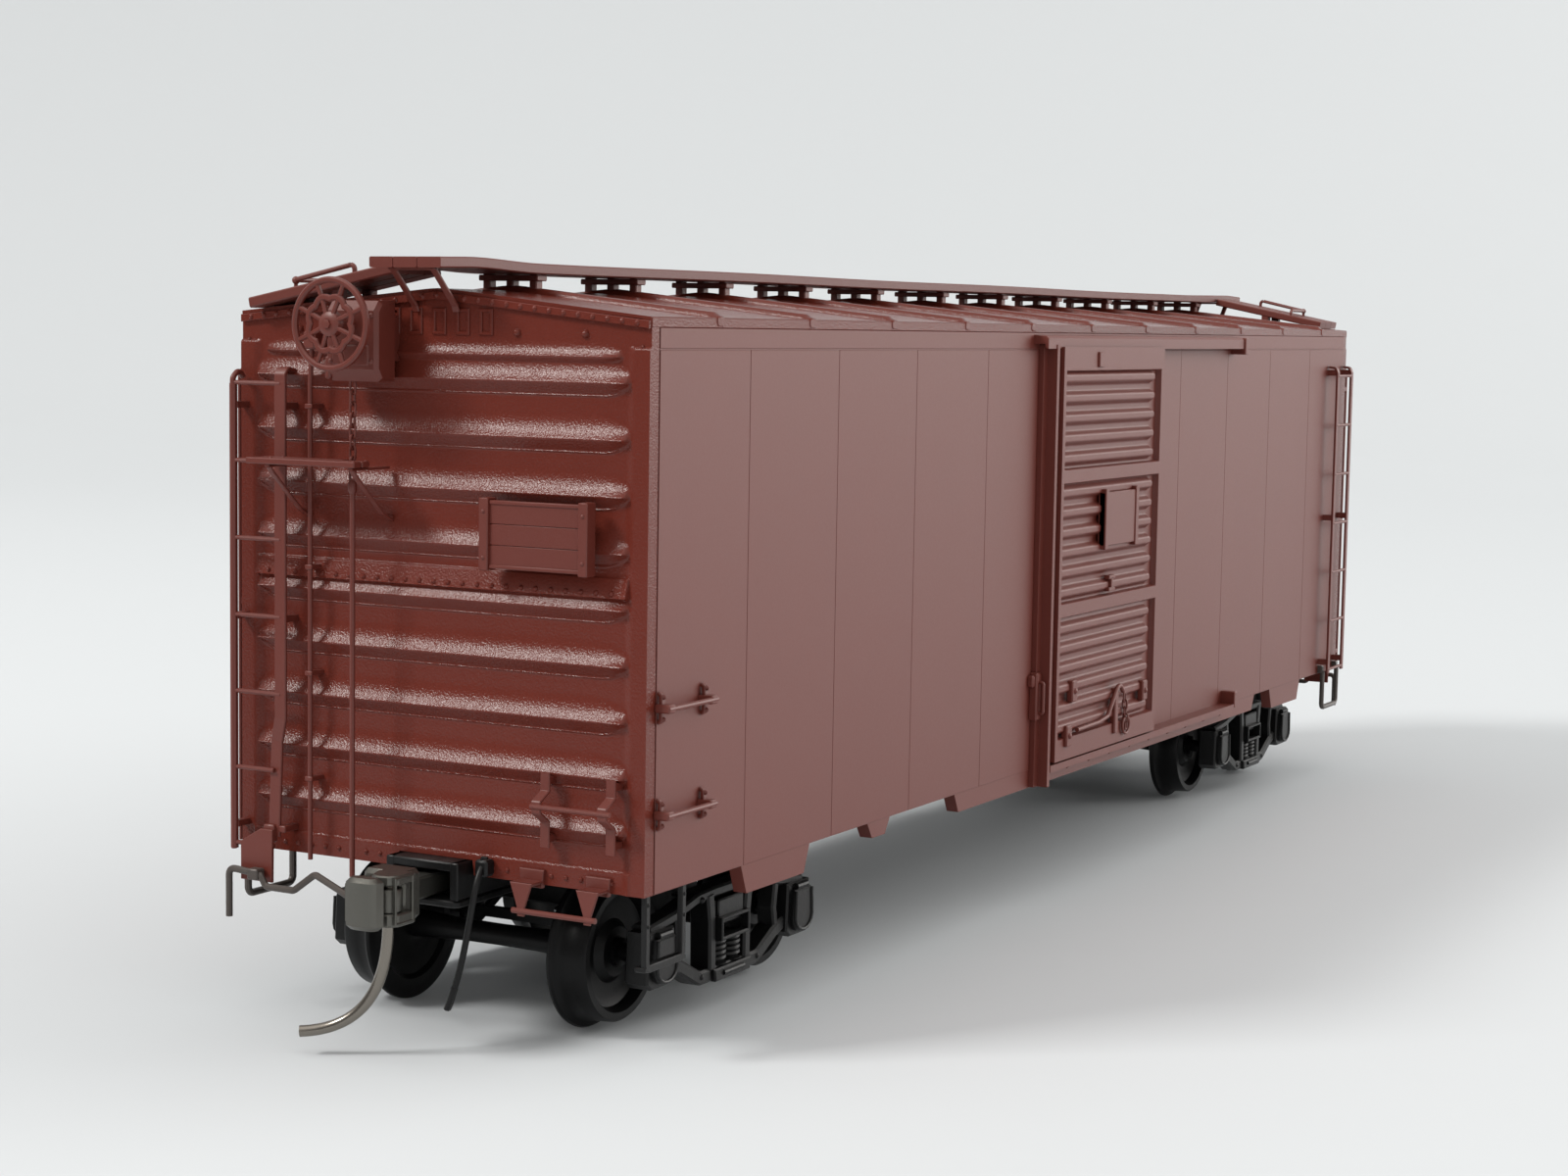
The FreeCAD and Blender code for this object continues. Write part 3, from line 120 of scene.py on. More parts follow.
class BoxCarColours(bpy.types.PropertyGroup):
    """Colours of paints and metals."""

    paint: bpy.props.FloatVectorProperty(
        name="Car paint", description="Red oxide paint of the body", subtype="COLOR",
        default=(0.122, 0.0222, 0.0145), min=0, max=1)
    plastic: bpy.props.FloatVectorProperty(
        name="Black plastic", description="Trucks and underframe", subtype="COLOR",
        default=(0.0045, 0.0045, 0.0048), min=0, max=1)
    wheel: bpy.props.FloatVectorProperty(
        name="Wheel black", description="Blackened wheels", subtype="COLOR",
        default=(0.0035, 0.0035, 0.0038), min=0, max=1)
    coupler: bpy.props.FloatVectorProperty(
        name="Coupler metal", description="Bare grey coupler casting", subtype="COLOR",
        default=(0.115, 0.112, 0.1), min=0, max=1)
    pin: bpy.props.FloatVectorProperty(
        name="Pin metal", description="Drawn wire of the trip pin", subtype="COLOR",
        default=(0.22, 0.2, 0.175), min=0, max=1)
    wire: bpy.props.FloatVectorProperty(
        name="Lever wire", description="Coated wire of levers and steps", subtype="COLOR",
        default=(0.07, 0.058, 0.052), min=0, max=1)
    floor: bpy.props.FloatVectorProperty(
        name="Floor", description="Pale studio floor", subtype="COLOR",
        default=(0.59, 0.617, 0.64), min=0, max=1)


def sizes():
    """The scene's sizes."""
    return bpy.context.scene.box_car_sizes


def colours():
    """The scene's colours."""
    return bpy.context.scene.box_car_colours


# ------------------------------------------------------------------ surfaces as arrays


def grid_quads(rows, columns, closed_rows=False, closed_columns=True):
    """Faces between neighbouring rows and columns of a grid of places, counted row by row."""
    row = np.arange(rows if closed_rows else rows - 1)
    column = np.arange(columns if closed_columns else columns - 1)
    row, column = np.meshgrid(row, column, indexing="ij")
    after = (column + 1) % columns
    below = (row + 1) % rows
    quads = (row * columns + column, row * columns + after, below * columns + after, below * columns + column)
    return np.stack(quads, axis=-1).reshape(-1, 4)


class Piece:
    """One visible piece while it is worked out: its places in millimetres and its faces."""

    def __init__(self):
        """Starts with no shells; count is the number of places so far."""
        self.places = []
        self.quads = []
        self.caps = []
        self.count = 0

    def add(self, places, quads, caps=()):
        """Takes in a closed shell; all faces are turned round if the volume they enclose is negative."""
        places = np.asarray(places, float).reshape(-1, 3)
        quads = np.asarray(quads, int).reshape(-1, 4)
        caps = [np.asarray(cap, int) for cap in caps]
        triangles = [quads[:, [0, 1, 2]], quads[:, [0, 2, 3]]]
        for cap in caps:
            triangles.append(np.stack([np.full(len(cap) - 2, cap[0]), cap[1:-1], cap[2:]], axis=1))
        spots = places[np.concatenate(triangles)] - places.mean(axis=0)
        volume = np.einsum("ij,ij->", spots[:, 0], np.cross(spots[:, 1], spots[:, 2]))
        if volume < 0:
            quads = quads[:, ::-1]
            caps = [cap[::-1] for cap in caps]
        self.places.append(places)
        self.quads.append(quads + self.count)
        self.caps += [cap + self.count for cap in caps]
        self.count += len(places)
        return self

    def merge(self, other, turn=None, shift=(0.0, 0.0, 0.0)):
        """Takes in another piece's shells, turned by a matrix and then shifted."""
        places = np.concatenate(other.places)
        if turn is not None:
            places = places @ np.asarray(turn, float).T
        self.places.append(places + np.asarray(shift, float))
        self.quads.append(np.concatenate(other.quads) + self.count)
        self.caps += [cap + self.count for cap in other.caps]
        self.count += len(places)
        return self

    def half_round(self):
        """Adds the same shells turned half round about the car's upright axis."""
        return self.merge(self.snapshot(), HALF_TURN)

    def mirrored_y(self):
        """Adds the same shells mirrored across the car's long middle plane, faces turned to suit."""
        copy = self.snapshot()
        copy.quads = [quads[:, ::-1] for quads in copy.quads]
        copy.caps = [cap[::-1] for cap in copy.caps]
        return self.merge(copy, np.diag([1.0, -1.0, 1.0]))

    def snapshot(self):
        """A copy of the shells taken in so far."""
        copy = Piece()
        copy.places, copy.quads = [np.concatenate(self.places)], [np.concatenate(self.quads)]
        copy.caps, copy.count = list(self.caps), self.count
        return copy


def spots(x, y, z):
    """Places in space, one for each value of whichever coordinates are rows of numbers."""
    return np.stack(np.broadcast_arrays(x, y, z), axis=-1)


def full_turn(count):
    """Equal angles once round."""
    return np.linspace(0, 2 * math.pi, count, endpoint=False)


def circle(radius, around=10):
    """Section: points at equal angles on a circle."""
    angle = full_turn(around)
    return radius * np.stack([np.cos(angle), np.sin(angle)], axis=1)


def cubic(start, start_pull, end_pull, end, count):
    """Cubic curve: (1-t)^3 and t^3 weigh the ends, 3(1-t)^2 t and 3(1-t) t^2 the two pulls."""
    t = np.linspace(0, 1, count)[:, None]
    start, start_pull, end_pull, end = (np.array(place) for place in (start, start_pull, end_pull, end))
    return ((1 - t) ** 3 * start + 3 * (1 - t) ** 2 * t * start_pull + 3 * (1 - t) * t ** 2 * end_pull
            + t ** 3 * end)


def flat_bar(wide, thick, corner=0.06):
    """Section: a rectangle with its four corners cut."""
    x, y, c = wide / 2, thick / 2, min(corner, wide / 3, thick / 3)
    half = np.array([(x - c, -y), (x, c - y), (x, y - c), (x - c, y)])
    return np.concatenate([half, -half])


def bent_path(points, radius, steps=6):
    """Straight runs joined by arcs: each inner corner becomes points on the circle tangent to both runs."""
    points = np.asarray(points, float)
    before, corner, after = points[:-2], points[1:-1], points[2:]
    arriving = corner - before
    arriving /= np.linalg.norm(arriving, axis=1, keepdims=True)
    leaving = after - corner
    leaving /= np.linalg.norm(leaving, axis=1, keepdims=True)
    half = np.arccos(np.clip(np.einsum("ij,ij->i", arriving, leaving), -1, 1)) / 2
    reach = radius * np.tan(half)
    inward = leaving - arriving
    inward /= np.maximum(np.linalg.norm(inward, axis=1, keepdims=True), 1e-9)
    centre = corner + inward * (radius / np.cos(half))[:, None]
    along = np.linspace(-1, 1, steps)[None, :, None] * half[:, None, None]
    forward = arriving + leaving
    forward /= np.linalg.norm(forward, axis=1, keepdims=True)
    arc = centre[:, None] + radius * (np.sin(along) * forward[:, None] - np.cos(along) * inward[:, None])
    arc = np.where(reach[:, None, None] > 1e-6, arc, corner[:, None])
    return np.concatenate([points[:1], arc.reshape(-1, 3), points[-1:]])


def sweep(piece, path, section, side=None, closed=False):
    """Carries a section along a path: every ring is the path's place, plus the section's first number
    times the side direction, plus its second times the direction square to the side and the path.
    At a bend the second direction is stretched so that the ring lies on the mitre."""
    path = np.asarray(path, float)
    section = np.asarray(section, float)
    if closed:
        runs = np.roll(path, -1, axis=0) - path
        runs /= np.linalg.norm(runs, axis=1, keepdims=True)
        tangent = runs + np.roll(runs, 1, axis=0)
    else:
        runs = np.diff(path, axis=0)
        runs /= np.linalg.norm(runs, axis=1, keepdims=True)
        tangent = np.concatenate([runs[:1], runs[:-1] + runs[1:], runs[-1:]])
        runs = np.concatenate([runs, runs[-1:]])
    tangent /= np.linalg.norm(tangent, axis=1, keepdims=True)
    if side is None:
        side = np.eye(3)[np.argmin(np.abs(tangent).max(axis=0))]
    second = np.cross(tangent, np.broadcast_to(np.asarray(side, float), tangent.shape))
    second /= np.linalg.norm(second, axis=1, keepdims=True)
    first = np.cross(second, tangent)
    stretch = 1 / np.maximum(np.einsum("ij,ij->i", tangent, runs), 0.6)
    rings = (path[:, None] + section[None, :, 0, None] * first[:, None]
             + section[None, :, 1, None] * (second * stretch[:, None])[:, None])
    count = len(section)
    quads = grid_quads(len(path), count, closed_rows=closed)
    caps = [] if closed else [np.arange(count)[::-1], np.arange(count) + count * (len(path) - 1)]
    return piece.add(rings, quads, caps)


def wire(piece, points, radius, bend=0.5):
    """Round wire through straight runs and bends."""
    path = bent_path(points, bend) if len(points) > 2 else np.asarray(points, float)
    return sweep(piece, path, circle(radius))


def strap(piece, points, wide, thick, side, bend=0.12):
    """Flat bar bent about the side direction; wide is its size along that direction."""
    path = bent_path(points, bend, steps=3) if len(points) > 2 else np.asarray(points, float)
    return sweep(piece, path, flat_bar(wide, thick), side=side)


def inset(outline, distance):
    """Moves every corner of a flat outline inwards so that both edges at it move by the distance."""
    edge = np.roll(outline, -1, axis=0) - outline
    edge /= np.linalg.norm(edge, axis=1, keepdims=True)
    normal = np.stack([-edge[:, 1], edge[:, 0]], axis=1)
    area = np.sum(outline[:, 0] * np.roll(outline[:, 1], -1) - np.roll(outline[:, 0], -1) * outline[:, 1])
    normal *= np.sign(area)
    previous = np.roll(normal, 1, axis=0)
    joint = (normal + previous) / np.maximum(1 + np.einsum("ij,ij->i", normal, previous), 0.3)[:, None]
    return outline + joint * distance


PLANES = {"x": (1, 2, 0), "y": (0, 2, 1), "z": (0, 1, 2)}


def slab(piece, outline, axis, low, high, bevel=0.07):
    """A flat outline carried along an axis from low to high, drawn in by the bevel at both faces."""
    outline = np.asarray(outline, float)
    levels = (low, low + bevel, high - bevel, high) if bevel else (low, high)
    insets = (bevel, 0.0, 0.0, bevel) if bevel else (0.0, 0.0)
    across, up, along = PLANES[axis]
    rings = np.zeros((len(levels), len(outline), 3))
    for index, (level, distance) in enumerate(zip(levels, insets)):
        flat = inset(outline, distance) if distance else outline
        rings[index, :, [across, up]] = flat.T
        rings[index, :, along] = level
    count = len(outline)
    caps = [np.arange(count)[::-1], np.arange(count) + count * (len(levels) - 1)]
    return piece.add(rings, grid_quads(len(levels), count), caps)


def block(piece, low, high, axis="z", bevel=0.07, corner=None):
    """A block between two corners with all its edges eased."""
    low, high = np.minimum(low, high), np.maximum(low, high)
    across, up, along = PLANES[axis]
    corner = bevel if corner is None else corner
    outline = flat_bar(high[across] - low[across], high[up] - low[up], corner)
    outline = outline + [(high[across] + low[across]) / 2, (high[up] + low[up]) / 2]
    return slab(piece, outline, axis, low[along], high[along], bevel)


def lathe(piece, profile, centre, axis, around=48, closed=False):
    """Turns a profile of (place along the axis, radius) once round an axis through the centre."""
    profile = np.asarray(profile, float)
    angle = full_turn(around)
    across, up, along = PLANES[axis]
    rings = np.zeros((len(profile), around, 3))
    rings[:, :, across] = profile[:, 1:2] * np.cos(angle)
    rings[:, :, up] = profile[:, 1:2] * np.sin(angle)
    rings[:, :, along] = profile[:, 0:1]
    caps = [] if closed else [np.arange(around)[::-1], np.arange(around) + around * (len(profile) - 1)]
    quads = grid_quads(len(profile), around, closed_rows=closed)
    return piece.add(rings + np.asarray(centre, float), quads, caps)


def studs(piece, centres, axis, direction, radius, height, around=7):
    """Rivet heads: one low dome, rings at falling radii, repeated at every centre."""
    shape = Piece()
    profile = [(-0.05 * direction, radius), (0.0, radius), (direction * height * 0.65, radius * 0.72),
               (direction * height, radius * 0.25)]
    lathe(shape, profile, (0, 0, 0), axis, around)
    places, quads = shape.places[0], shape.quads[0]
    centres = np.asarray(centres, float)
    shift = np.arange(len(centres)) * len(places)
    piece.places.append((centres[:, None] + places[None]).reshape(-1, 3))
    piece.quads.append((shift[:, None, None] + quads[None]).reshape(-1, 4) + piece.count)
    for cap in shape.caps:
        piece.caps += list(shift[:, None] + cap[None] + piece.count)
    piece.count += len(centres) * len(places)
    return piece


def thick_sheet(piece, front, back):
    """Two grids of places, front and back, with their borders joined into one closed shell."""
    rows, columns = front.shape[:2]
    half = rows * columns
    face = grid_quads(rows, columns, closed_columns=False)
    order = np.arange(half).reshape(rows, columns)
    loop = np.concatenate([order[0, :-1], order[:-1, -1], order[-1, :0:-1], order[:0:-1, 0]])
    after = np.roll(loop, -1)
    border = np.stack([loop, loop + half, after + half, after], axis=1)
    quads = np.concatenate([face, face[:, ::-1] + half, border])
    return piece.add(np.concatenate([front.reshape(-1, 3), back.reshape(-1, 3)]), quads)


def link(piece, centre, along, turned, length, half, radius, out="x"):
    """One chain link: a wire ring whose two straight sides are joined by half circles. A turned link
    stands square to its neighbours."""
    angle = full_turn(16)
    along = np.asarray(along, float)
    across = half * np.cos(angle)
    along_place = half * np.sin(angle) + np.sign(np.sin(angle)) * length / 2
    axis = {"x": np.array([1.0, 0, 0]), "y": np.array([0, 1.0, 0])}[out]
    sideways = np.cross(along, axis)
    wide, flat = (axis, sideways) if turned else (sideways, axis)
    path = np.asarray(centre, float) + across[:, None] * wide + along_place[:, None] * along
    return sweep(piece, path, circle(radius, 7), side=flat, closed=True)


def ramp(value, start, end):
    """Smooth step from 0 at start to 1 at end: 3t^2 - 2t^3."""
    t = np.clip((value - start) / (end - start), 0, 1)
    return t * t * (3 - 2 * t)


def finish_piece(piece, name, body, material, replaces=(), sharp=32):
    """Puts the arrays into a mesh, in metres, and gives it its paint and its body."""
    mesh = bpy.data.meshes.new(name)
    faces = np.concatenate(piece.quads).tolist() + [cap.tolist() for cap in piece.caps]
    mesh.from_pydata((np.concatenate(piece.places) * MM).tolist(), [], faces)
    mesh.validate()
    mesh.shade_smooth()
    mesh.set_sharp_from_angle(angle=math.radians(sharp))
    item = bpy.data.objects.new(name, mesh)
    bpy.context.scene.collection.objects.link(item)
    mesh.materials.append(material)
    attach(item, body)
    if replaces:
        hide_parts(*replaces)
    return item


# ------------------------------------------------------------------ finishes

# Cells of slow noise in a metre, and the grain's height as a share of its size.
MOTTLE_SCALE = 180
GRAIN_LIFT = 0.25


def finish_material(name, colour, roughness, metallic=0.0, mottle=0.06, grain=0.0, grain_size=0.00015,
                    specular=0.5):
    """Procedural finish on Object coordinates: the colour swings by the share mottle with slow noise,
    and fine noise of the grain's size varies the roughness by a tenth and lifts the surface."""
    material = bpy.data.materials.get(name)
    if material:
        return material
    material = bpy.data.materials.new(name)
    material.use_nodes = True
    tree = material.node_tree
    shader = tree.nodes["Principled BSDF"]
    shader.inputs["Metallic"].default_value = metallic
    shader.inputs["Specular IOR Level"].default_value = specular
    place = tree.nodes.new("ShaderNodeTexCoord")
    slow = tree.nodes.new("ShaderNodeTexNoise")
    slow.inputs["Scale"].default_value = MOTTLE_SCALE
    slow.inputs["Detail"].default_value = 4
    tree.links.new(place.outputs["Object"], slow.inputs["Vector"])
    tone = tree.nodes.new("ShaderNodeMix")
    tone.data_type = "RGBA"
    darker = [channel * (1 - mottle) for channel in colour]
    lighter = [min(1, channel * (1 + mottle)) for channel in colour]
    tone.inputs["A"].default_value = (*darker, 1)
    tone.inputs["B"].default_value = (*lighter, 1)
    tree.links.new(slow.outputs["Fac"], tone.inputs["Factor"])
    tree.links.new(tone.outputs["Result"], shader.inputs["Base Color"])
    spread = tree.nodes.new("ShaderNodeMapRange")
    spread.inputs["To Min"].default_value = roughness * 0.9
    spread.inputs["To Max"].default_value = min(1, roughness * 1.1)
    fine = tree.nodes.new("ShaderNodeTexNoise")
    fine.inputs["Scale"].default_value = 1 / grain_size
    fine.inputs["Detail"].default_value = 3
    tree.links.new(place.outputs["Object"], fine.inputs["Vector"])
    tree.links.new(fine.outputs["Fac"], spread.inputs["Value"])
    tree.links.new(spread.outputs["Result"], shader.inputs["Roughness"])
    if grain:
        bump = tree.nodes.new("ShaderNodeBump")
        bump.inputs["Strength"].default_value = grain
        bump.inputs["Distance"].default_value = GRAIN_LIFT * grain_size
        tree.links.new(fine.outputs["Fac"], bump.inputs["Height"])
        tree.links.new(bump.outputs["Normal"], shader.inputs["Normal"])
    return material


def side_paint():
    """Satin red oxide on the smooth sides and doors."""
    return finish_material("side paint", colours().paint, 0.48, mottle=0.035, grain=0.08)


def end_paint():
    """Glossier, grainy red oxide on the pressed ends and the roof."""
    return finish_material("end paint", colours().paint, 0.2, grain=1.0, specular=0.27)


def fitting_paint():
    """Red oxide on ladders, walks and brake gear."""
    return finish_material("fitting paint", colours().paint, 0.44, mottle=0.07, grain=0.2, grain_size=0.0002)


def black_plastic():
    """Moulded plastic of trucks, floor, draft boxes and hoses."""
    return finish_material("black plastic", colours().plastic, 0.42, mottle=0.25, grain=0.2,
                           grain_size=0.0003, specular=0.3)


def wheel_black():
    """Blackened metal of wheels and axles."""
    return finish_material("wheel black", colours().wheel, 0.36, mottle=0.3, grain=0.15,
                           grain_size=0.0002, specular=0.16)


def coupler_metal():
    """Bare grey casting of couplers and knuckles."""
    return finish_material("coupler casting", colours().coupler, 0.34, metallic=0.75, mottle=0.15,
                           grain=0.3, grain_size=0.00022)


def pin_metal():
    """Bright wire of trip pins and knuckle springs."""
    return finish_material("drawn wire", colours().pin, 0.24, metallic=0.9, mottle=0.12, grain=0.1)


def lever_wire():
    """Primed wire of uncoupling levers and sill steps."""
    return finish_material("coated wire", colours().wire, 0.42, metallic=0.3, mottle=0.2, grain=0.2)


def plain_steel():
    """Plain steel of screws and ballast."""
    return finish_material("plain steel", (0.35, 0.35, 0.36), 0.35, metallic=0.9, mottle=0.1, grain=0.1)


# ------------------------------------------------------------------ body shell

# On the pressed end: half the width that carries ribs, the edges of the seam band, the small rib by
# the eave, half the width of the notch over the coupler, the top of the plain foot below the ribs
# and the bottom of the plain gable above them.
END_FLAT = 15.0
BAND_LOW, BAND_HIGH = 30.12, 31.62
EAVE_RIB_LINE = 45.5
NOTCH_HALF = 2.98
FOOT_TOP = 12.4
HEAD_FOOT = 46.3

# Half the width of a roof seam's cap.
SEAM_HALF = 0.62


def end_relief(across, height):
    """Depth of the pressed end over (across, height). Each of the nine ribs is the lesser of an upper
    slope H(1 - d/a)^2.2, d being the height over the crest line, and a plane underside H(1 + d/b); both
    widths shrink as 1 - s^2 towards the tips, so a rib ends like a canoe. The lesser is rounded as
    (a + b - sqrt((a - b)^2 + c)) / 2. A fine bead exp(-(e/r)^2) follows the underside's foot. One
    smaller rib lies near the eave. The seam band leans out towards its foot, and the corner strips
    and the foot strip are flat."""
    rib = sizes().rib_height / MM
    out = np.abs(across)
    relief = np.zeros_like(across)
    rows = [(RIB_LINE + RIB_PITCH * step, 1.0, END_FLAT) for step in range(RIB_COUNT)]
    for line, share, tip in rows + [(EAVE_RIB_LINE, 0.6, 14.3)]:
        above = height - line
        slope_width = RIB_SLOPE * share * (1 - 0.55 * np.clip((out - tip + 2.8) / 2.8, 0, 1) ** 2)
        foot_width = RIB_FOOT * share * (1 - 0.97 * np.clip((out - tip + 2.0) / 2.0, 0, 1) ** 2)
        upper = np.clip(1 - above / slope_width, 0, None) ** 2.2
        lower = 1 + above / foot_width
        slope = 0.5 * (upper + lower - np.sqrt((upper - lower) ** 2 + 0.006))
        bead = 0.1 * np.exp(-((above + foot_width) / 0.07) ** 2)
        tip_drop = ramp(tip - out, 0.0, 0.4)
        relief = np.maximum(relief, share * tip_drop * np.maximum(rib * slope, bead))
    band = (ramp(height, BAND_LOW, BAND_LOW + 0.14) * ramp(-height, -BAND_HIGH, 0.14 - BAND_HIGH)
            * ramp(-out, -END_FLAT, 0.15 - END_FLAT))
    relief = np.maximum(relief, band * (0.12 + 0.3 * (31.6 - height)))
    corner_strip = ramp(out, 14.5, 15.3) * ramp(-height, -46.2, -46.05)
    foot_strip = ramp(-height, -FOOT_TOP - 0.3, -FOOT_TOP - 0.15) * ramp(-out, -15.3, -15.15)
    return relief + 0.2 * corner_strip + 0.1 * foot_strip


def gable(across):
    """Height of the end's top edge, just below the roof sheet's top."""
    return RIDGE_Z - 0.12 - ROOF_FALL * np.abs(across) / HALF_WIDTH


def end_piece():
    """The pressed end of one car end: a sheet between the relief and a flat back, with its rivets,
    bolts and the small square frames embossed in the gable. Its grid is fine where the relief is."""
    piece = Piece()
    notch_sides = NOTCH_HALF + np.array([0.0, 0.06, 0.12])
    tips = np.concatenate([np.linspace(12.3, 15.35, 34), np.linspace(15.4, HALF_WIDTH, 5)])
    side = np.unique(np.round(np.concatenate([
        np.linspace(-12.3, 12.3, 15), -notch_sides, notch_sides, -tips, tips]), 4))
    offsets = np.concatenate([[-1.6, -1.2, -1.05], np.arange(-0.98, -0.13, 0.05),
                              [-0.1, -0.05, -0.01, 0.03, 0.08], np.linspace(0.16, 1.78, 13)])
    lines = [RIB_LINE + RIB_PITCH * step + offsets for step in range(RIB_COUNT)]
    level = np.unique(np.round(np.concatenate([
        *lines, np.linspace(30.1, 30.28, 4), np.linspace(31.46, 31.64, 4), np.linspace(12.5, 12.75, 4),
        np.linspace(45.0, 46.2, 14)]), 3))
    level = level[(level > FOOT_TOP) & (level < HEAD_FOOT - 0.05)]
    low = SILL_Z + 1.02 * ramp(-np.abs(side), -NOTCH_HALF - 0.12, -NOTCH_HALF)
    foot = low + (FOOT_TOP - low) * np.linspace(0, 1, 5)[:, None]
    head = HEAD_FOOT + (gable(side) - HEAD_FOOT) * np.linspace(0, 1, 12)[:, None]
    height = np.concatenate([foot, np.broadcast_to(level[:, None], (len(level), len(side))), head])
    across = np.broadcast_to(side, height.shape)
    front = np.stack([END_X + 0.1 - end_relief(across, height), across, height], axis=-1)
    back = front.copy()
    back[..., 0] = END_X + 1.05
    thick_sheet(piece, front, back)
    rivet = sizes().rivet_radius / MM
    pitch = np.arange(-13.8, 13.9, 1.15)
    studs(piece, spots(END_X - 0.3, pitch, 30.55), "x", -1, rivet, 0.22)
    studs(piece, spots(END_X, pitch[np.abs(pitch) > 3.3], 11.85), "x", -1, rivet, 0.16)
    for y in (-15.72, 15.72):
        studs(piece, spots(END_X, y, np.arange(12.6, 46.5, 1.2)), "x", -1, rivet * 0.6, 0.05)
    for y in (-6.2, -11.4, 6.2, 11.4):
        studs(piece, [(END_X + 0.1, y, 46.95)], "x", -1, 0.3, 0.28, around=10)
    x, frame_half, frame_foot = END_X + 0.08, 0.42, 46.85
    for y in (-0.1, -1.96, -3.8, 1.8, 3.6):
        frame_head = min(48.35, float(gable(abs(y) + 0.5)) - 0.55)
        loop = [(x, y - frame_half, frame_foot), (x, y + frame_half, frame_foot),
                (x, y + frame_half, frame_head), (x, y - frame_half, frame_head)]
        sweep(piece, loop, flat_bar(0.24, 0.24), side=(1, 0, 0), closed=True)
    return piece


class BOXCAR_OT_ends(bpy.types.Operator):
    """Pressed steel ends with their ribs, seam band and rivets"""

    bl_idname = "boxcar.ends"
    bl_label = "Ends"

    def execute(self, context):
        finish_piece(end_piece(), "end_sheet_b", CAR, end_paint(), ["end_b"], sharp=40)
        far = Piece().merge(end_piece(), HALF_TURN)
        finish_piece(far, "end_sheet_a", CAR, end_paint(), ["end_a"], sharp=40)
        return {"FINISHED"}


def side_plates():
    """Thin outer sheets on the right side: a block for each sheet, with a fine gap at every seam and
    at the doorway, and one long strip under the eave."""
    piece = Piece()
    gap = sizes().sheet_gap / MM
    end = 71.25
    doorway = (-11.6, 13.4)
    back, front = SIDE_Y + 0.3, SIDE_Y - 0.05
    seams = np.array([21.5, 34.3, 46.9, 59.65])
    limits = [-end, *-seams[::-1], *seams, end]
    for start, stop in zip(limits[:-1], limits[1:]):
        spans = [(start, stop)] if start * stop > 0 else [(start, doorway[0]), (doorway[1], stop)]
        for left, right in spans:
            block(piece, (left + gap / 2, front, SILL_Z + 0.03), (right - gap / 2, back, 46.02), "z", 0.025)
    block(piece, (-end, front, 46.12), (end, back, EAVE_Z + 0.02), "z", 0.025)
    return piece


class BOXCAR_OT_sides(bpy.types.Operator):
    """Side sheets with their seams"""

    bl_idname = "boxcar.sides"
    bl_label = "Side sheets"

    def execute(self, context):
        finish_piece(side_plates().half_round(), "side_sheets", CAR, side_paint(), ())
        return {"FINISHED"}


def roof_top(along, across):
    """Height of the roof: a shallow ridge, raised at eleven seams by h(1 - t^4) with t the distance
    from the seam over half the cap's width; caps fade out at the eave and the ridge is rounded."""
    rise = RIDGE_Z - ROOF_FALL * np.sqrt(across ** 2 + 0.25) / HALF_WIDTH
    half_pitch = ROOF_SEAM_PITCH / 2
    offset = np.abs((along + half_pitch) % ROOF_SEAM_PITCH - half_pitch)
    offset = np.where(np.abs(along) > ROOF_SEAMS[-1] + half_pitch, half_pitch, offset)
    cap = np.clip(1 - (offset / SEAM_HALF) ** 4, 0, 1)
    height = sizes().seam_height / MM
    return rise + height * cap * ramp(HALF_WIDTH - np.abs(across), 0.05, 0.5)


def roof_piece():
    """The roof sheet between its top and an underside that falls with |y|, then on each side the
    fascia with a cap under every seam, and on each end a gabled flange with its rivets."""
    piece = Piece()
    near = np.array([0.35, 0.5, 0.57, SEAM_HALF, 0.75])
    seams = (ROOF_SEAMS[:, None] + np.concatenate([-near[::-1], [0.0], near])).ravel()
    along = np.unique(np.concatenate([[-72.28, -71.9, 71.9, 72.28], seams]))
    edge = np.array([16.33, 16.2, 16.05, 15.9, 15.7, 15.3, 12.0, 8.0, 4.0, 2.0, 1.0, 0.5])
    across, along = np.meshgrid(np.concatenate([-edge, [0.0], edge[::-1]]), along)
    top = np.stack([along, across, roof_top(along, across)], axis=-1)
    under = top.copy()
    under[..., 2] = FASCIA_Z - 0.2 + 1.5 * (1 - np.abs(across) / HALF_WIDTH)
    thick_sheet(piece, top, under)
    for side in (-1, 1):
        block(piece, (-72.29, side * (HALF_WIDTH - 0.75), EAVE_Z - 0.02),
              (72.29, side * (HALF_WIDTH + 0.04), FASCIA_Z + 0.02), "x", 0.1)
        for x in ROOF_SEAMS:
            block(piece, (x - 0.55, side * (HALF_WIDTH - 0.3), EAVE_Z + 0.1),
                  (x + 0.55, side * (HALF_WIDTH + 0.1), FASCIA_Z + 0.12), "y", 0.09, 0.2)
    rivets = np.arange(-15.4, 15.5, 1.1)
    for end in (-1, 1):
        flange = [(-16.3, FASCIA_Z - 0.25), (0, RIDGE_Z - 0.25), (16.3, FASCIA_Z - 0.25),
                  (16.3, FASCIA_Z - 0.75), (0, RIDGE_Z - 0.75), (-16.3, FASCIA_Z - 0.75)]
        face = end * 72.38
        slab(piece, flange, "x", face - 0.12, face + 0.08, 0.04)
        level = RIDGE_Z - 0.5 - ROOF_FALL * np.abs(rivets) / HALF_WIDTH
        studs(piece, spots(end * 72.43, rivets, level), "x", end, 0.24, 0.2)
    return piece


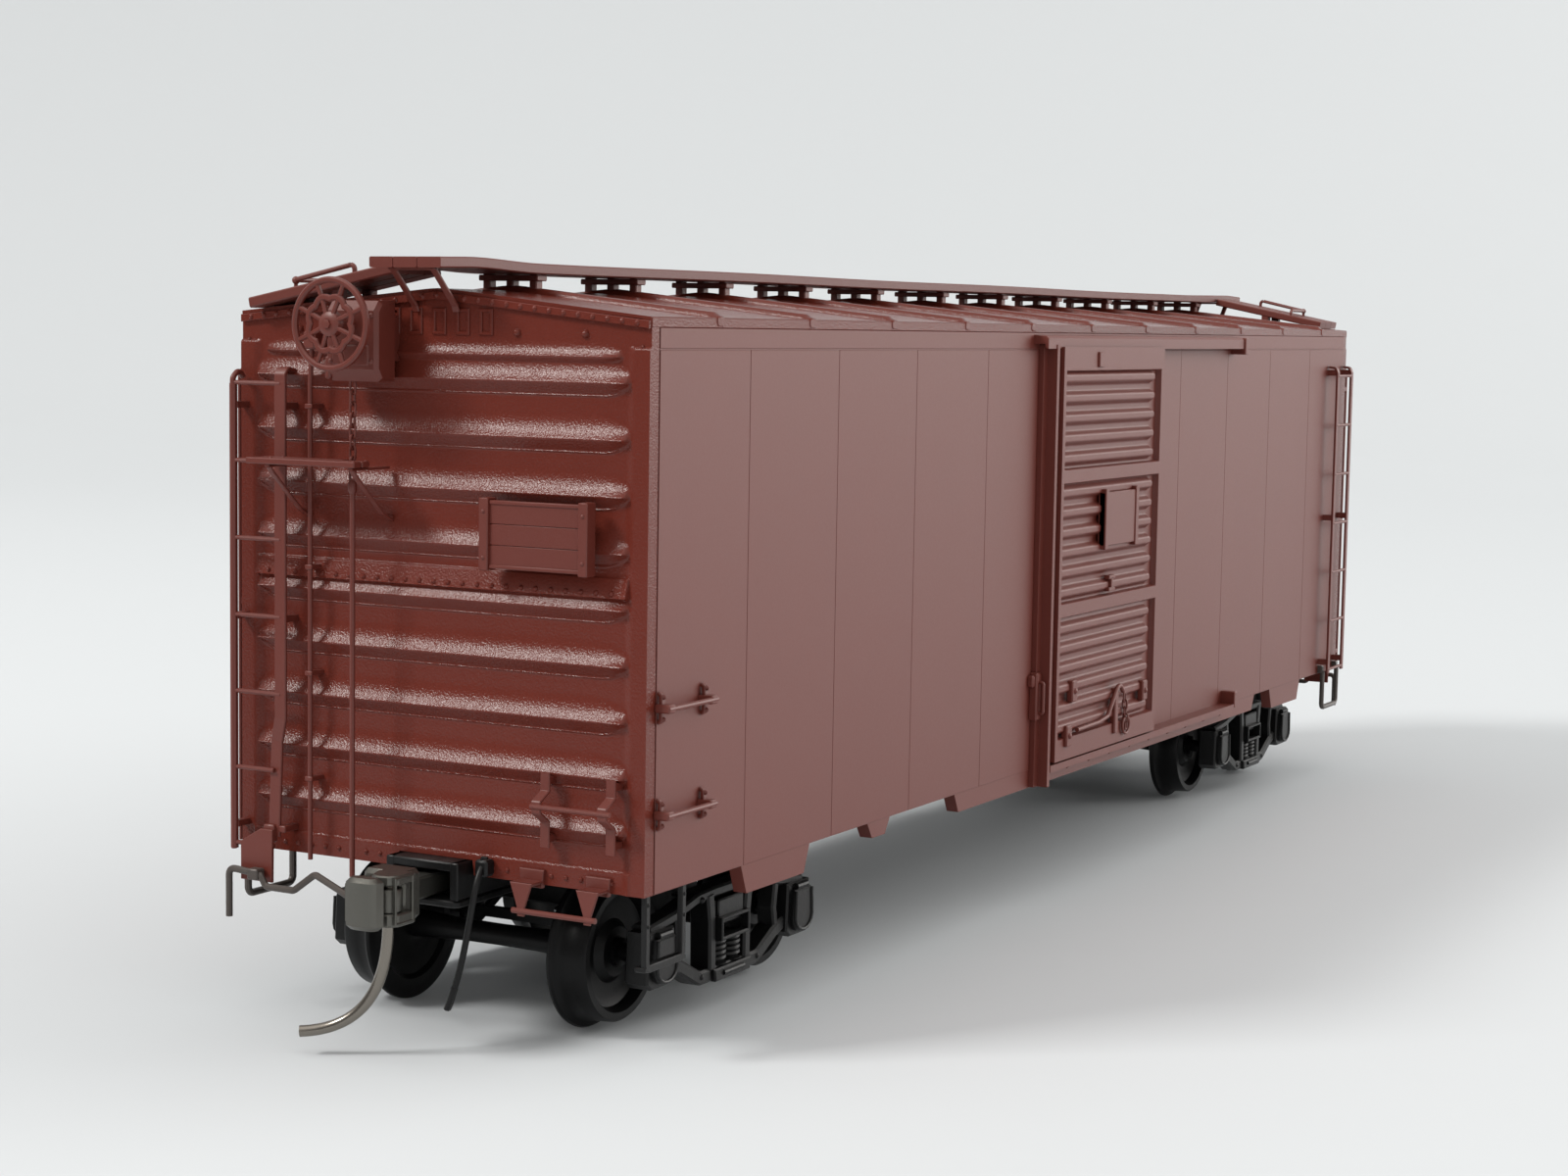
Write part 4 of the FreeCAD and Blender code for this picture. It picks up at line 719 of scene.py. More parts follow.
class BOXCAR_OT_roof(bpy.types.Operator):
    """Roof sheet with seam caps, eave fascia and end rivets"""

    bl_idname = "boxcar.roof"
    bl_label = "Roof"

    def execute(self, context):
        finish_piece(roof_piece(), "roof_sheet", CAR, end_paint(), ["roof"], sharp=38)
        return {"FINISHED"}


# ------------------------------------------------------------------ roof walk and platforms

BOARD_THICK = 0.7
PLATFORM_INNER, PLATFORM_OUTER = WALK_HIGH[1] + 0.1, HALF_WIDTH - 1.6


def walk_line(along):
    """Height of the roof walk's underside: a faint wave, and a lift over both ends of the roof that
    ebbs a little towards the tips."""
    lift = 0.2 * ramp(np.abs(along), 64.5, 72.0) - 0.1 * ramp(np.abs(along), 72.0, 76.0)
    return WALK_LOW[2] + 0.03 * np.sin(along * 0.13) + lift


def roof_walk():
    """Three boards side by side, each a flat bar carried along the walk's line."""
    piece = Piece()
    boards = np.linspace(WALK_LOW[1], WALK_HIGH[1], 4)
    along = np.linspace(WALK_LOW[0], WALK_HIGH[0], 120)
    for left, right in zip(boards[:-1], boards[1:]):
        path = spots(along, (left + right) / 2, walk_line(along) + 0.13)
        sweep(piece, path, flat_bar(right - left - 0.05, BOARD_THICK, 0.08), side=(0, 1, 0))
    return piece


def roof_sheet_z(y):
    """Height of the roof sheet at a distance from the middle."""
    return RIDGE_Z - ROOF_FALL * abs(y) / HALF_WIDTH


def saddles():
    """At each roof seam, three blocks between roof and walk, and a bar across them."""
    piece = Piece()
    walk_z = WALK_LOW[2]
    for x in ROOF_SEAMS:
        for y in (-1.9, 0.0, 1.9):
            block(piece, (x - 0.4, y - 0.3, roof_sheet_z(y)), (x + 0.4, y + 0.3, walk_z + 0.04), "z", 0.08)
        block(piece, (x - 0.6, -2.42, walk_z - 0.7), (x + 0.6, 2.42, walk_z - 0.3), "y", 0.06)
    return piece


def walk_braces():
    """At each end two straps bent down from the walk's tip to the gable, and a bar across them."""
    piece = Piece()
    tip, lip, foot = -75.2, 51.05, 48.25
    for y in (-1.6, 1.6):
        bends = [(tip, y, lip), (-74.9, y, lip - 0.2), (-72.6, y, foot + 0.35), (-72.45, y, foot)]
        strap(piece, bends, 0.5, 0.22, (0, 1, 0), 0.2)
    block(piece, (tip - 0.05, -1.85, 50.85), (tip + 0.45, 1.85, 51.08), "y", 0.05)
    return piece.half_round()


def platform_top(y):
    """Height of a corner platform's top, which falls evenly from its inner to its outer edge."""
    return 51.35 - 2.35 * (y - PLATFORM_INNER) / (PLATFORM_OUTER - PLATFORM_INNER)


def corner_platform():
    """Three sloping boards on four feet that stand on the roof sheet."""
    piece = Piece()
    edges = np.linspace(-73.5, -67.9, 4)
    for left, right in zip(edges[:-1], edges[1:]):
        path = [((left + right) / 2, y, platform_top(y) - 0.36) for y in (PLATFORM_INNER, PLATFORM_OUTER)]
        sweep(piece, path, flat_bar(right - left - 0.04, BOARD_THICK, 0.09), side=(1, 0, 0))
    for x in (-71.7, -68.4):
        for y in (14.2, 8.5):
            foot, head = roof_sheet_z(y) - 0.02, platform_top(y) - 0.4
            block(piece, (x - 0.4, y - 0.4, foot), (x + 0.4, y + 0.4, head), "z", 0.08)
    return piece.half_round()


def roof_grab():
    """Wire handhold round two edges of a corner platform, and a short post under a ball at the bend."""
    piece = Piece()
    edge, inner, outer = -72.9, 6.3, 11.3
    low, high = platform_top(outer), platform_top(inner)
    rear = edge + 4.5
    rail = [(edge, inner, high - 0.1), (edge, inner, high + 0.6), (edge, outer, low + 0.5),
            (rear, outer, low + 0.5), (rear, outer, low - 0.1)]
    wire(piece, rail, 0.17, 0.3)
    post_x, post_y = edge + 0.05, outer - 0.05
    wire(piece, [(post_x, post_y, low - 0.05), (post_x, post_y, low + 0.4)], 0.14)
    ball = [(0.27 * math.sin(t), 0.27 * math.cos(t)) for t in np.linspace(-1.45, 1.45, 9)]
    lathe(piece, ball, (post_x, post_y, low + 0.48), "z", 16)
    return piece.half_round()


class BOXCAR_OT_roof_walk(bpy.types.Operator):
    """Roof walk, its saddles and braces, corner platforms and their handholds"""

    bl_idname = "boxcar.roof_walk"
    bl_label = "Roof walk"

    def execute(self, context):
        paint = fitting_paint()
        finish_piece(roof_walk(), "roof_walk", CAR, paint, ["running_board"])
        finish_piece(saddles(), "roof_walk_saddles", CAR, paint, ["running_board_saddles"])
        finish_piece(walk_braces(), "roof_walk_braces", CAR, paint, ["running_board_braces"])
        finish_piece(corner_platform(), "corner_boards", CAR, paint, ["corner_platforms"])
        finish_piece(roof_grab(), "roof_grabs", CAR, paint, ["roof_grab_irons"])
        return {"FINISHED"}


# ------------------------------------------------------------------ doors

DOOR_RELIEF = 0.5
UPPER_RAIL_Z = 46.52
LOWER_RAIL_Z = 11.5
RAIL_RIGHT = 36.0
POST_X = -10.35


def door_relief(along, height):
    """Depth of the door's face over its slab: a raised frame, two joint bands and rows of pressed ribs
    with rounded right ends; each rib's section is flat on top with sides of half a millimetre."""
    left, right, foot, head = DOOR_LOW[0], DOOR_HIGH[0], DOOR_LOW[2], DOOR_HIGH[2]
    frame_part = np.maximum.reduce([
        ramp(-along, -left - 0.75, -left - 0.6), ramp(along, right - 0.75, right - 0.6),
        ramp(-height, -foot - 1.95, -foot - 1.8), ramp(height, head - 2.1, head - 1.95),
        *(ramp(height, band, band + 0.15) * ramp(-height, -band - 1.4, -band - 1.25)
          for band in (foot + 11.95, foot + 23.15))])
    relief = DOOR_RELIEF * frame_part
    start, stop = left + 0.7, right - 2.45
    beyond = np.maximum(np.maximum(start - along, along - stop), 0)
    for row_foot, count in ((foot + 1.9, 6), (foot + 13.3, 6), (foot + 24.5, 5)):
        for step in range(count):
            line = row_foot + 0.83 + 1.67 * step
            distance = np.sqrt(beyond ** 2 + (height - line) ** 2)
            relief = np.maximum(relief, DOOR_RELIEF * ramp(-distance, -0.66, -0.2))
    return relief


def door_piece():
    """The right door: a sheet with its relief on a flat back, and on its face the board, the hasp
    below it, the guides, the handle with its keeper, and a hanging chain that ends in a ring."""
    piece = Piece()
    left, right, foot, head = DOOR_LOW[0], DOOR_HIGH[0], DOOR_LOW[2], DOOR_HIGH[2]
    back_y = SIDE_Y - 0.4
    face = back_y - 0.7
    crest = face - DOOR_RELIEF
    along, height = np.meshgrid(
        np.concatenate([np.linspace(left, left + 1.6, 16), np.linspace(left + 1.8, right - 3.4, 24),
                        np.linspace(right - 3.3, right, 44)]), np.linspace(foot, head, 520))
    front = np.stack([along, face - door_relief(along, height), height], axis=-1)
    back = front.copy()
    back[..., 1] = back_y
    thick_sheet(piece, front, back)

    def boss(x, z, half_wide, half_high, proud, bevel=0.05, sunk=0.3):
        """A block on the door's face about (x, z)."""
        block(piece, (x - half_wide, crest - proud, z - half_high),
              (x + half_wide, crest + sunk, z + half_high), "y", bevel)

    boss(2.875, 31.6, 3.825, 2.3, 0.35)
    for x in (-0.6, 6.35):
        boss(x, 31.6, 0.35, 2.6, 0.45, 0.06, 0.2)
    for z in (25.45, 26.5):
        boss(1.4, z, 0.7, 0.16, 0.25)
    boss(1.4, 26.0, 0.2, 0.5, 0.25)
    for x, z in ((-6.4, 17.4), (-7.4, 13.7), (9.9, 15.7)):
        boss(x, z, 0.55, 0.9, 0.3, 0.1)
        studs(piece, [(x, crest - 0.28, z)], "y", -1, 0.3, 0.2, around=10)
    handle = [(-5.6, crest - 0.2, 14.0), (-1.0, crest - 0.25, 14.1), (1.0, crest - 0.3, 14.4),
              (3.0, crest - 0.3, 16.6), (3.7, crest - 0.3, 16.9), (4.5, crest - 0.3, 16.2)]
    wire(piece, handle, 0.2, 0.6)
    boss(3.3, 14.6, 0.4, 2.0, 0.25, 0.1)
    for step in range(5):
        centre = (5.0 + 0.12 * step, crest - 0.25, 15.6 - 0.62 * step)
        link(piece, centre, (0, 0, 1), step % 2, 0.42, 0.2, 0.085, "y")
    ring_turn = full_turn(20)
    ring = spots(5.55 + 0.75 * np.cos(ring_turn), crest - 0.22, 13.1 + 0.75 * np.sin(ring_turn))
    sweep(piece, ring, circle(0.13, 8), side=(0, 1, 0), closed=True)
    boss(-2.0, 45.25, 0.6, 0.65, 0.2, 0.08)
    return piece


def track_piece():
    """Upper rail with a drip lip, lower rail on brackets, striking post of angle section, stops."""
    piece = Piece()
    wall, up, low = SIDE_Y + 0.02, UPPER_RAIL_Z, LOWER_RAIL_Z
    upper = [(wall, up + 0.76), (wall, up), (SIDE_Y - 0.95, up), (SIDE_Y - 1.05, up - 0.37),
             (SIDE_Y - 1.32, up - 0.37), (SIDE_Y - 1.32, up + 0.48), (SIDE_Y - 1.1, up + 0.68)]
    slab(piece, upper, "x", -12.6, RAIL_RIGHT, 0.05)
    lower = [(wall, low), (SIDE_Y - 1.45, low), (SIDE_Y - 1.45, low - 0.58), (SIDE_Y - 1.2, low - 0.58),
             (SIDE_Y - 1.2, low - 0.3), (wall, low - 0.3)]
    slab(piece, lower, "x", POST_X + 0.05, RAIL_RIGHT, 0.05)
    bracket = [(wall, low - 0.25), (SIDE_Y - 1.1, low - 0.25), (wall, low - 1.3)]
    for x in np.arange(-8.0, 35.5, 4.8):
        slab(piece, bracket, "x", x - 0.2, x + 0.2, 0.04)
    post = [(POST_X, wall), (POST_X, SIDE_Y - 1.4), (POST_X - 0.5, SIDE_Y - 1.4),
            (POST_X - 0.5, SIDE_Y - 0.55), (POST_X - 1.15, SIDE_Y - 0.45), (POST_X - 1.15, wall)]
    slab(piece, post, "z", 9.75, 46.5, 0.05)
    block(piece, (-11.9, SIDE_Y - 0.75, 15.4), (-10.9, wall, 19.4), "y", 0.12)
    block(piece, (-12.3, SIDE_Y - 0.55, 18.2), (-10.9, wall, 19.2), "y", 0.12)
    staple = [(-11.4, SIDE_Y - 0.7, 16.0), (-11.4, SIDE_Y - 1.1, 16.0), (-11.4, SIDE_Y - 1.1, 18.6),
              (-11.4, SIDE_Y - 0.7, 18.6)]
    wire(piece, staple, 0.14, 0.2)
    for foot in (45.6, 11.1):
        block(piece, (RAIL_RIGHT - 0.8, SIDE_Y - 1.5, foot), (RAIL_RIGHT, wall, foot + 1.6), "y", 0.08)
    return piece


class BOXCAR_OT_doors(bpy.types.Operator):
    """Pressed steel doors, their rails, posts and stops"""

    bl_idname = "boxcar.doors"
    bl_label = "Doors and tracks"

    def execute(self, context):
        paint = side_paint()
        finish_piece(door_piece(), "door_sheet_right", "door_right", paint, ["door_right"],
                     sharp=40)
        left = Piece().merge(door_piece(), HALF_TURN)
        finish_piece(left, "door_sheet_left", "door_left", paint, ["door_left"], sharp=40)
        finish_piece(track_piece().half_round(), "door_rails", CAR, paint, ["door_tracks"])
        return {"FINISHED"}


# ------------------------------------------------------------------ end and side fittings


def end_ladder():
    """Two flat stiles and seven wire rungs; the inner stile bends in toward its gusset at the foot."""
    piece = Piece()
    plane, wall = -73.75, -72.1
    inner, outer = 11.85, 15.9
    rung = sizes().wire_radius / MM
    stile = [(plane + 1.2, inner, 44.1), (plane + 0.35, inner, 44.3), (plane, inner, 43.9),
             (plane, inner, 20.6), (plane + 0.25, inner + 0.5, 19.0), (plane + 0.25, inner + 0.75, 12.4)]
    strap(piece, stile, 0.95, 0.25, (0, 1, 0), 0.3)
    hook = [(plane + 1.0, outer, 43.6), (plane + 0.6, outer, 44.15), (plane - 0.05, outer, 43.6),
            (plane - 0.05, outer, 11.25)]
    wire(piece, hook, 0.2, 0.4)
    strap(piece, [(plane, outer, 43.2), (plane, outer, 11.3)], 0.5, 0.36, (0, 1, 0))
    for z in RUNGS:
        start = inner if z > 20 else inner + 0.6
        wire(piece, [(plane, start, z), (plane, outer, z)], rung)
    gusset = [(12.35, 12.9), (13.4, 12.9), (15.1, 11.9), (15.1, 9.25), (12.4, 9.25)]
    slab(piece, gusset, "x", -74.1, -73.85, 0.04)
    block(piece, (-73.9, 12.4, 12.0), (-73.4, 13.3, 13.2), "x", 0.08)
    for z in (12.95, 27.35, 41.75):
        for y in (inner, outer):
            block(piece, (plane + 0.05, y - 0.28, z - 0.22), (wall, y + 0.28, z + 0.22), "x", 0.06)
    return piece.half_round()


def side_ladder():
    """Two flat stiles bent in at the top, each on three lugs, and seven wire rungs."""
    piece = Piece()
    plane = HALF_WIDTH + 1.1
    left, right = -71.0, -66.2
    for x in (left, right):
        stile = [(x, plane - 0.9, 44.2), (x, plane - 0.2, 44.1), (x, plane, 43.6), (x, plane, 11.3)]
        strap(piece, stile, 0.7, 0.24, (1, 0, 0), 0.25)
        for z in (12.5, 28.1, 43.6):
            block(piece, (x - 0.28, HALF_WIDTH - 0.02, z - 0.3), (x + 0.28, plane - 0.05, z + 0.3), "y", 0.07)
    for z in RUNGS:
        wire(piece, [(left, plane, z), (right, plane, z)], sizes().wire_radius / MM)
    return piece.half_round()


def side_grab():
    """Straight wire handholds, each on two plus-shaped feet with rounded bosses."""
    piece = Piece()
    foot_y, bar_y = SIDE_Y - 0.3, SIDE_Y - 1.0
    for z in (16.4, 23.3):
        wire(piece, [(-71.35, bar_y, z), (-65.2, bar_y, z)], 0.19)
        for x in (-71.0, -65.6):
            upright = [(x, foot_y + 0.2, z - 0.95), (x, foot_y, z - 0.8), (x, foot_y, z + 0.8),
                       (x, foot_y + 0.2, z + 0.95)]
            strap(piece, upright, 0.42, 0.28, (1, 0, 0), 0.15)
            block(piece, (x - 0.45, bar_y - 0.15, z - 0.28), (x + 0.45, SIDE_Y + 0.02, z + 0.28), "y", 0.1)
            for rise in (-0.72, 0.72):
                studs(piece, [(x, foot_y, z + rise)], "y", -1, 0.22, 0.32, around=10)
    return piece.half_round()


def end_handhold():
    """A bar on two cranked straps above, and a bar on two bent brackets at the sill."""
    piece = Piece()
    crest, plane = -73.1, -73.8
    bar_x, bar_z, low_bar_z = crest - 1.2, 16.7, 9.65
    wire(piece, [(bar_x, -14.9, bar_z), (bar_x, -8.9, bar_z)], 0.18)
    for y in (-9.3, -14.3):
        crank = [(crest - 0.1, y, 18.75), (crest - 0.1, y, 17.55), (bar_x + 0.05, y, 17.0),
                 (bar_x + 0.05, y, 16.3), (crest - 0.1, y, 15.6), (crest - 0.1, y, 13.9)]
        strap(piece, crank, 0.72, 0.2, (0, 1, 0), 0.12)
        for foot in (18.0, 14.2):
            block(piece, (crest - 0.18, y - 0.3, foot), (crest + 0.9, y + 0.3, foot + 0.5), "x", 0.06)
    wire(piece, [(plane, -13.6, low_bar_z), (plane, -7.2, low_bar_z)], 0.19)
    for y in (-12.95, -7.85):
        pad = [(y - 0.95, 12.2), (y + 0.95, 12.2), (y + 0.8, 11.0), (y - 0.8, 11.0)]
        slab(piece, pad, "x", -72.6, -72.2, 0.05)
        gusset = [(y - 0.85, 11.5), (y + 0.85, 11.5), (y + 0.3, 9.9), (y + 0.25, 9.3), (y - 0.25, 9.3),
                  (y - 0.3, 9.9)]
        slab(piece, gusset, "x", plane - 0.05, plane + 0.15, 0.04)
        block(piece, (plane, y - 0.85, 11.3), (-72.3, y + 0.85, 11.5), "x", 0.05)
    return piece.half_round()


def wire_steps():
    """A stirrup of wire below the side ladder, its two feet in blocks on the sill."""
    piece = Piece()
    plane, tread, foot = HALF_WIDTH + 0.5, 7.5, 11.3
    front, rear = -71.2, -66.3
    stirrup = [(front, plane - 0.4, foot + 0.6), (front, plane, foot), (front, plane, tread),
               (rear, plane, tread), (rear, plane, foot), (rear, plane - 0.4, foot + 0.6)]
    wire(piece, stirrup, 0.26, 0.5)
    for x in (front, rear):
        block(piece, (x - 0.4, HALF_WIDTH - 0.1, 11.25), (x + 0.4, HALF_WIDTH + 0.55, 12.05), "y", 0.1)
    return piece.half_round()


def strap_steps():
    """A stirrup of flat bar below the side grab irons, with a wider tread and two rivets a leg."""
    piece = Piece()
    plane, tread, top = SIDE_Y + 0.3, 6.4, 11.2
    front, rear = -71.7, -67.2
    stirrup = [(front, plane, top), (front, plane, tread), (rear, plane, tread), (rear, plane, top)]
    strap(piece, stirrup, 0.42, 0.5, (0, 1, 0), 0.3)
    block(piece, (front - 0.3, plane - 0.2, tread - 0.18),
          (rear + 0.3, plane + 0.65, tread + 0.15), "z", 0.06)
    for x in (front, rear):
        studs(piece, [(x, plane - 0.18, z) for z in (9.2, 10.6)], "y", -1, 0.16, 0.14)
    return piece.half_round()


def levers():
    """A bent wire from a hanging handle at the corner, through its bracket, to the coupler."""
    piece = Piece()
    plane = -74.7
    bends = [(plane, 15.6, 6.7), (plane, 15.6, 10.1), (plane, 12.9, 9.9), (plane, 12.4, 9.1),
             (plane, 10.0, 9.1), (plane, 8.2, 10.4), (plane - 0.3, 4.6, 9.1)]
    wire(piece, bends, 0.24, 0.45)
    block(piece, (plane - 0.35, 12.9, 9.5), (plane + 0.5, 13.8, 10.25), "x", 0.08)
    return piece.half_round()


def placard():
    """A board of three planks between two battens with two bolts each, edged above and below."""
    piece = Piece()
    edges = np.linspace(31.95, 36.05, 4)
    for low, high in zip(edges[:-1], edges[1:]):
        block(piece, (-73.9, -12.6, low + 0.015), (-73.45, -5.0, high - 0.015), "x", 0.03)
    for y in (-12.55, -4.95):
        block(piece, (-74.15, y - 0.35, 31.65), (-73.1, y + 0.35, 36.35), "x", 0.06)
        studs(piece, [(-74.13, y, z) for z in (32.5, 35.5)], "x", -1, 0.16, 0.12, around=8)
    for foot in (35.95, 31.8):
        block(piece, (-74.0, -12.2, foot), (-73.4, -5.3, foot + 0.25), "x", 0.05)
    return piece.half_round()


class BOXCAR_OT_fittings(bpy.types.Operator):
    """Ladders, handholds, steps, levers and placards"""

    bl_idname = "boxcar.fittings"
    bl_label = "End and side fittings"

    def execute(self, context):
        paint = fitting_paint()
        finish_piece(end_ladder(), "ladders_end", CAR, paint, ["end_ladders"])
        finish_piece(side_ladder(), "ladders_side", CAR, paint, ["side_ladders"])
        finish_piece(side_grab(), "grab_irons_side", CAR, paint, ["side_grab_irons"])
        finish_piece(end_handhold(), "handholds_end", CAR, paint, ["end_handholds"])
        finish_piece(wire_steps(), "steps_wire", CAR, lever_wire(), ["sill_steps"])
        finish_piece(strap_steps(), "steps_strap", CAR, black_plastic(), ["sill_steps"])
        finish_piece(levers(), "levers_uncoupling", CAR, lever_wire(), ["uncoupling_levers"])
        finish_piece(placard(), "placards", CAR, paint, ["placard_boards"])
        return {"FINISHED"}


# ------------------------------------------------------------------ hand brake


def brake_wheel():
    """Rim, eight spokes, a scalloped ring half way out whose radius swings with |cos(4a)|, a hub on its
    shaft and a nut."""
    piece = Piece()
    low, high = corners("brake_wheel")
    centre = np.array([-77.5, (low[1] + high[1]) / 2, (low[2] + high[2]) / 2])
    spokes = 8
    angle = full_turn(96)
    around = spots(0.0, np.cos(angle), np.sin(angle))
    sweep(piece, centre + 2.86 * around, flat_bar(0.46, 0.4, 0.12), side=(1, 0, 0), closed=True)
    radius = 1.62 + 0.2 * np.abs(np.cos(spokes / 2 * (angle - math.pi / spokes)))
    ring = centre + radius[:, None] * (around - (0.02, 0, 0))
    sweep(piece, ring, flat_bar(0.32, 0.42, 0.1), side=(1, 0, 0), closed=True)
    dish = np.array([-0.12, 0, 0])
    for bearing in full_turn(spokes) + math.pi / spokes:
        outward = np.array([0, math.cos(bearing), math.sin(bearing)])
        spoke = [centre + dish + 0.4 * outward, centre + 1.6 * outward, centre + 2.75 * outward]
        sweep(piece, spoke, flat_bar(0.3, 0.3, 0.08), side=(1, 0, 0))
    hub = [(-0.36, 0.3), (-0.34, 0.6), (-0.2, 0.8), (0.2, 0.9), (0.3, 0.55), (3.0, 0.4)]
    lathe(piece, hub, centre, "x", 24)
    nut = [(-0.3, 0.3), (-0.3, 0.32), (-0.48, 0.3), (-0.5, 0.22)]
    lathe(piece, nut, centre, "x", 6)
    return piece


def brake_housing():
    """Gear case: a bevelled box on a base plate, with a raised cover low on its face, a lug at one side
    and four bolts."""
    piece = Piece()
    side = [(-75.4, 44.4), (-75.4, 48.2), (-74.9, 48.85), (-73.2, 48.9), (-73.2, 43.6), (-74.9, 43.6)]
    slab(piece, side, "y", 2.6, 6.8, 0.25)
    block(piece, (-73.4, 3.1, 44.9), (-72.15, 6.3, 47.9), "x", 0.1)
    block(piece, (-75.5, 3.2, 44.6), (-75.2, 6.2, 46.0), "x", 0.12)
    block(piece, (-75.3, 6.5, 43.7), (-73.4, 6.95, 45.2), "x", 0.12)
    studs(piece, [(-75.38, y, z) for y in (3.05, 6.35) for z in (44.9, 47.9)], "x", -1, 0.2, 0.14, around=9)
    return piece


def brake_chain():
    """Chain links from the case to below the step, then a plain rod down to the coupler's height."""
    piece = Piece()
    x, y = -74.8, 5.0
    top, pitch, links = 43.2, 0.72, 9
    for step in range(links):
        link(piece, (x, y, top - pitch * step), (0, 0, 1), step % 2, 0.5, 0.22, 0.09)
    wire(piece, [(x, y, 37.2), (x, y, 10.65)], 0.19)
    rod_head = [(0, 0.19), (0.2, 0.3), (0.7, 0.3), (0.9, 0.19)]
    lathe(piece, rod_head, (x, y, 36.2), "z", 12)
    return piece


def brake_step():
    """Slatted board, its inner slat cut short for the chain, on two brackets of a flat arm and a bent
    brace that are bolted to the end."""
    piece = Piece()
    board_z = 38.42
    edges = np.linspace(-76.9, -74.25, 4)
    for left, right, start in zip(edges[:-1], edges[1:], (3.3, 3.3, 5.6)):
        block(piece, (left + 0.03, start, board_z - 0.4), (right - 0.03, 12.3, board_z), "y", 0.06)
    for y in (3.75, 10.6):
        strap(piece, [(-76.7, y, 37.9), (-72.7, y, 37.9)], 0.42, 0.16, (0, 1, 0))
        brace = [(-76.5, y, 37.85), (-76.2, y, 37.5), (-73.3, y, 34.9), (-72.25, y, 34.4)]
        strap(piece, brace, 0.42, 0.18, (0, 1, 0), 0.2)
        studs(piece, [(-72.35, y, 34.55)], "x", -1, 0.22, 0.2, around=9)
        studs(piece, [(x, y, board_z) for x in (-76.3, -75.0)], "z", 1, 0.12, 0.07)
    return piece


def retainer():
    """Thin pipe up the end in four clips, with the retaining valve and its cap at the top."""
    piece = Piece()
    x, y = -73.3, 9.7
    wall = -72.2
    wire(piece, [(x, y, 11.05), (x, y, 43.2), (x - 0.1, y - 0.25, 46.0)], 0.17, 0.6)
    block(piece, (-73.85, 8.9, 45.6), (wall, 9.9, 46.8), "x", 0.12)
    lathe(piece, [(-0.05, 0.35), (0.1, 0.35), (0.22, 0.2), (0.3, 0.2)], (x - 0.1, 9.4, 46.5), "z", 12)
    for z in (16.6, 23.8, 31.0, 41.8):
        block(piece, (x - 0.25, y - 0.3, z - 0.16), (wall + 0.05, y + 0.3, z + 0.16), "x", 0.05)
    return piece


class BOXCAR_OT_hand_brake(bpy.types.Operator):
    """Hand brake wheel, gear case, chain, step and retainer pipe"""

    bl_idname = "boxcar.hand_brake"
    bl_label = "Hand brake"

    def execute(self, context):
        paint = fitting_paint()
        finish_piece(brake_wheel(), "hand_wheel", "hand_brake_wheel", paint, ["brake_wheel"])
        finish_piece(brake_housing(), "gear_case", CAR, paint, ["brake_housing"])
        finish_piece(brake_chain(), "hand_chain", CAR, paint, ["brake_chain"])
        finish_piece(brake_step(), "step_board", CAR, paint, ["brake_step"])
        finish_piece(retainer(), "retainer_line", CAR, paint, ["retainer_pipe"])
        return {"FINISHED"}


# ------------------------------------------------------------------ trucks


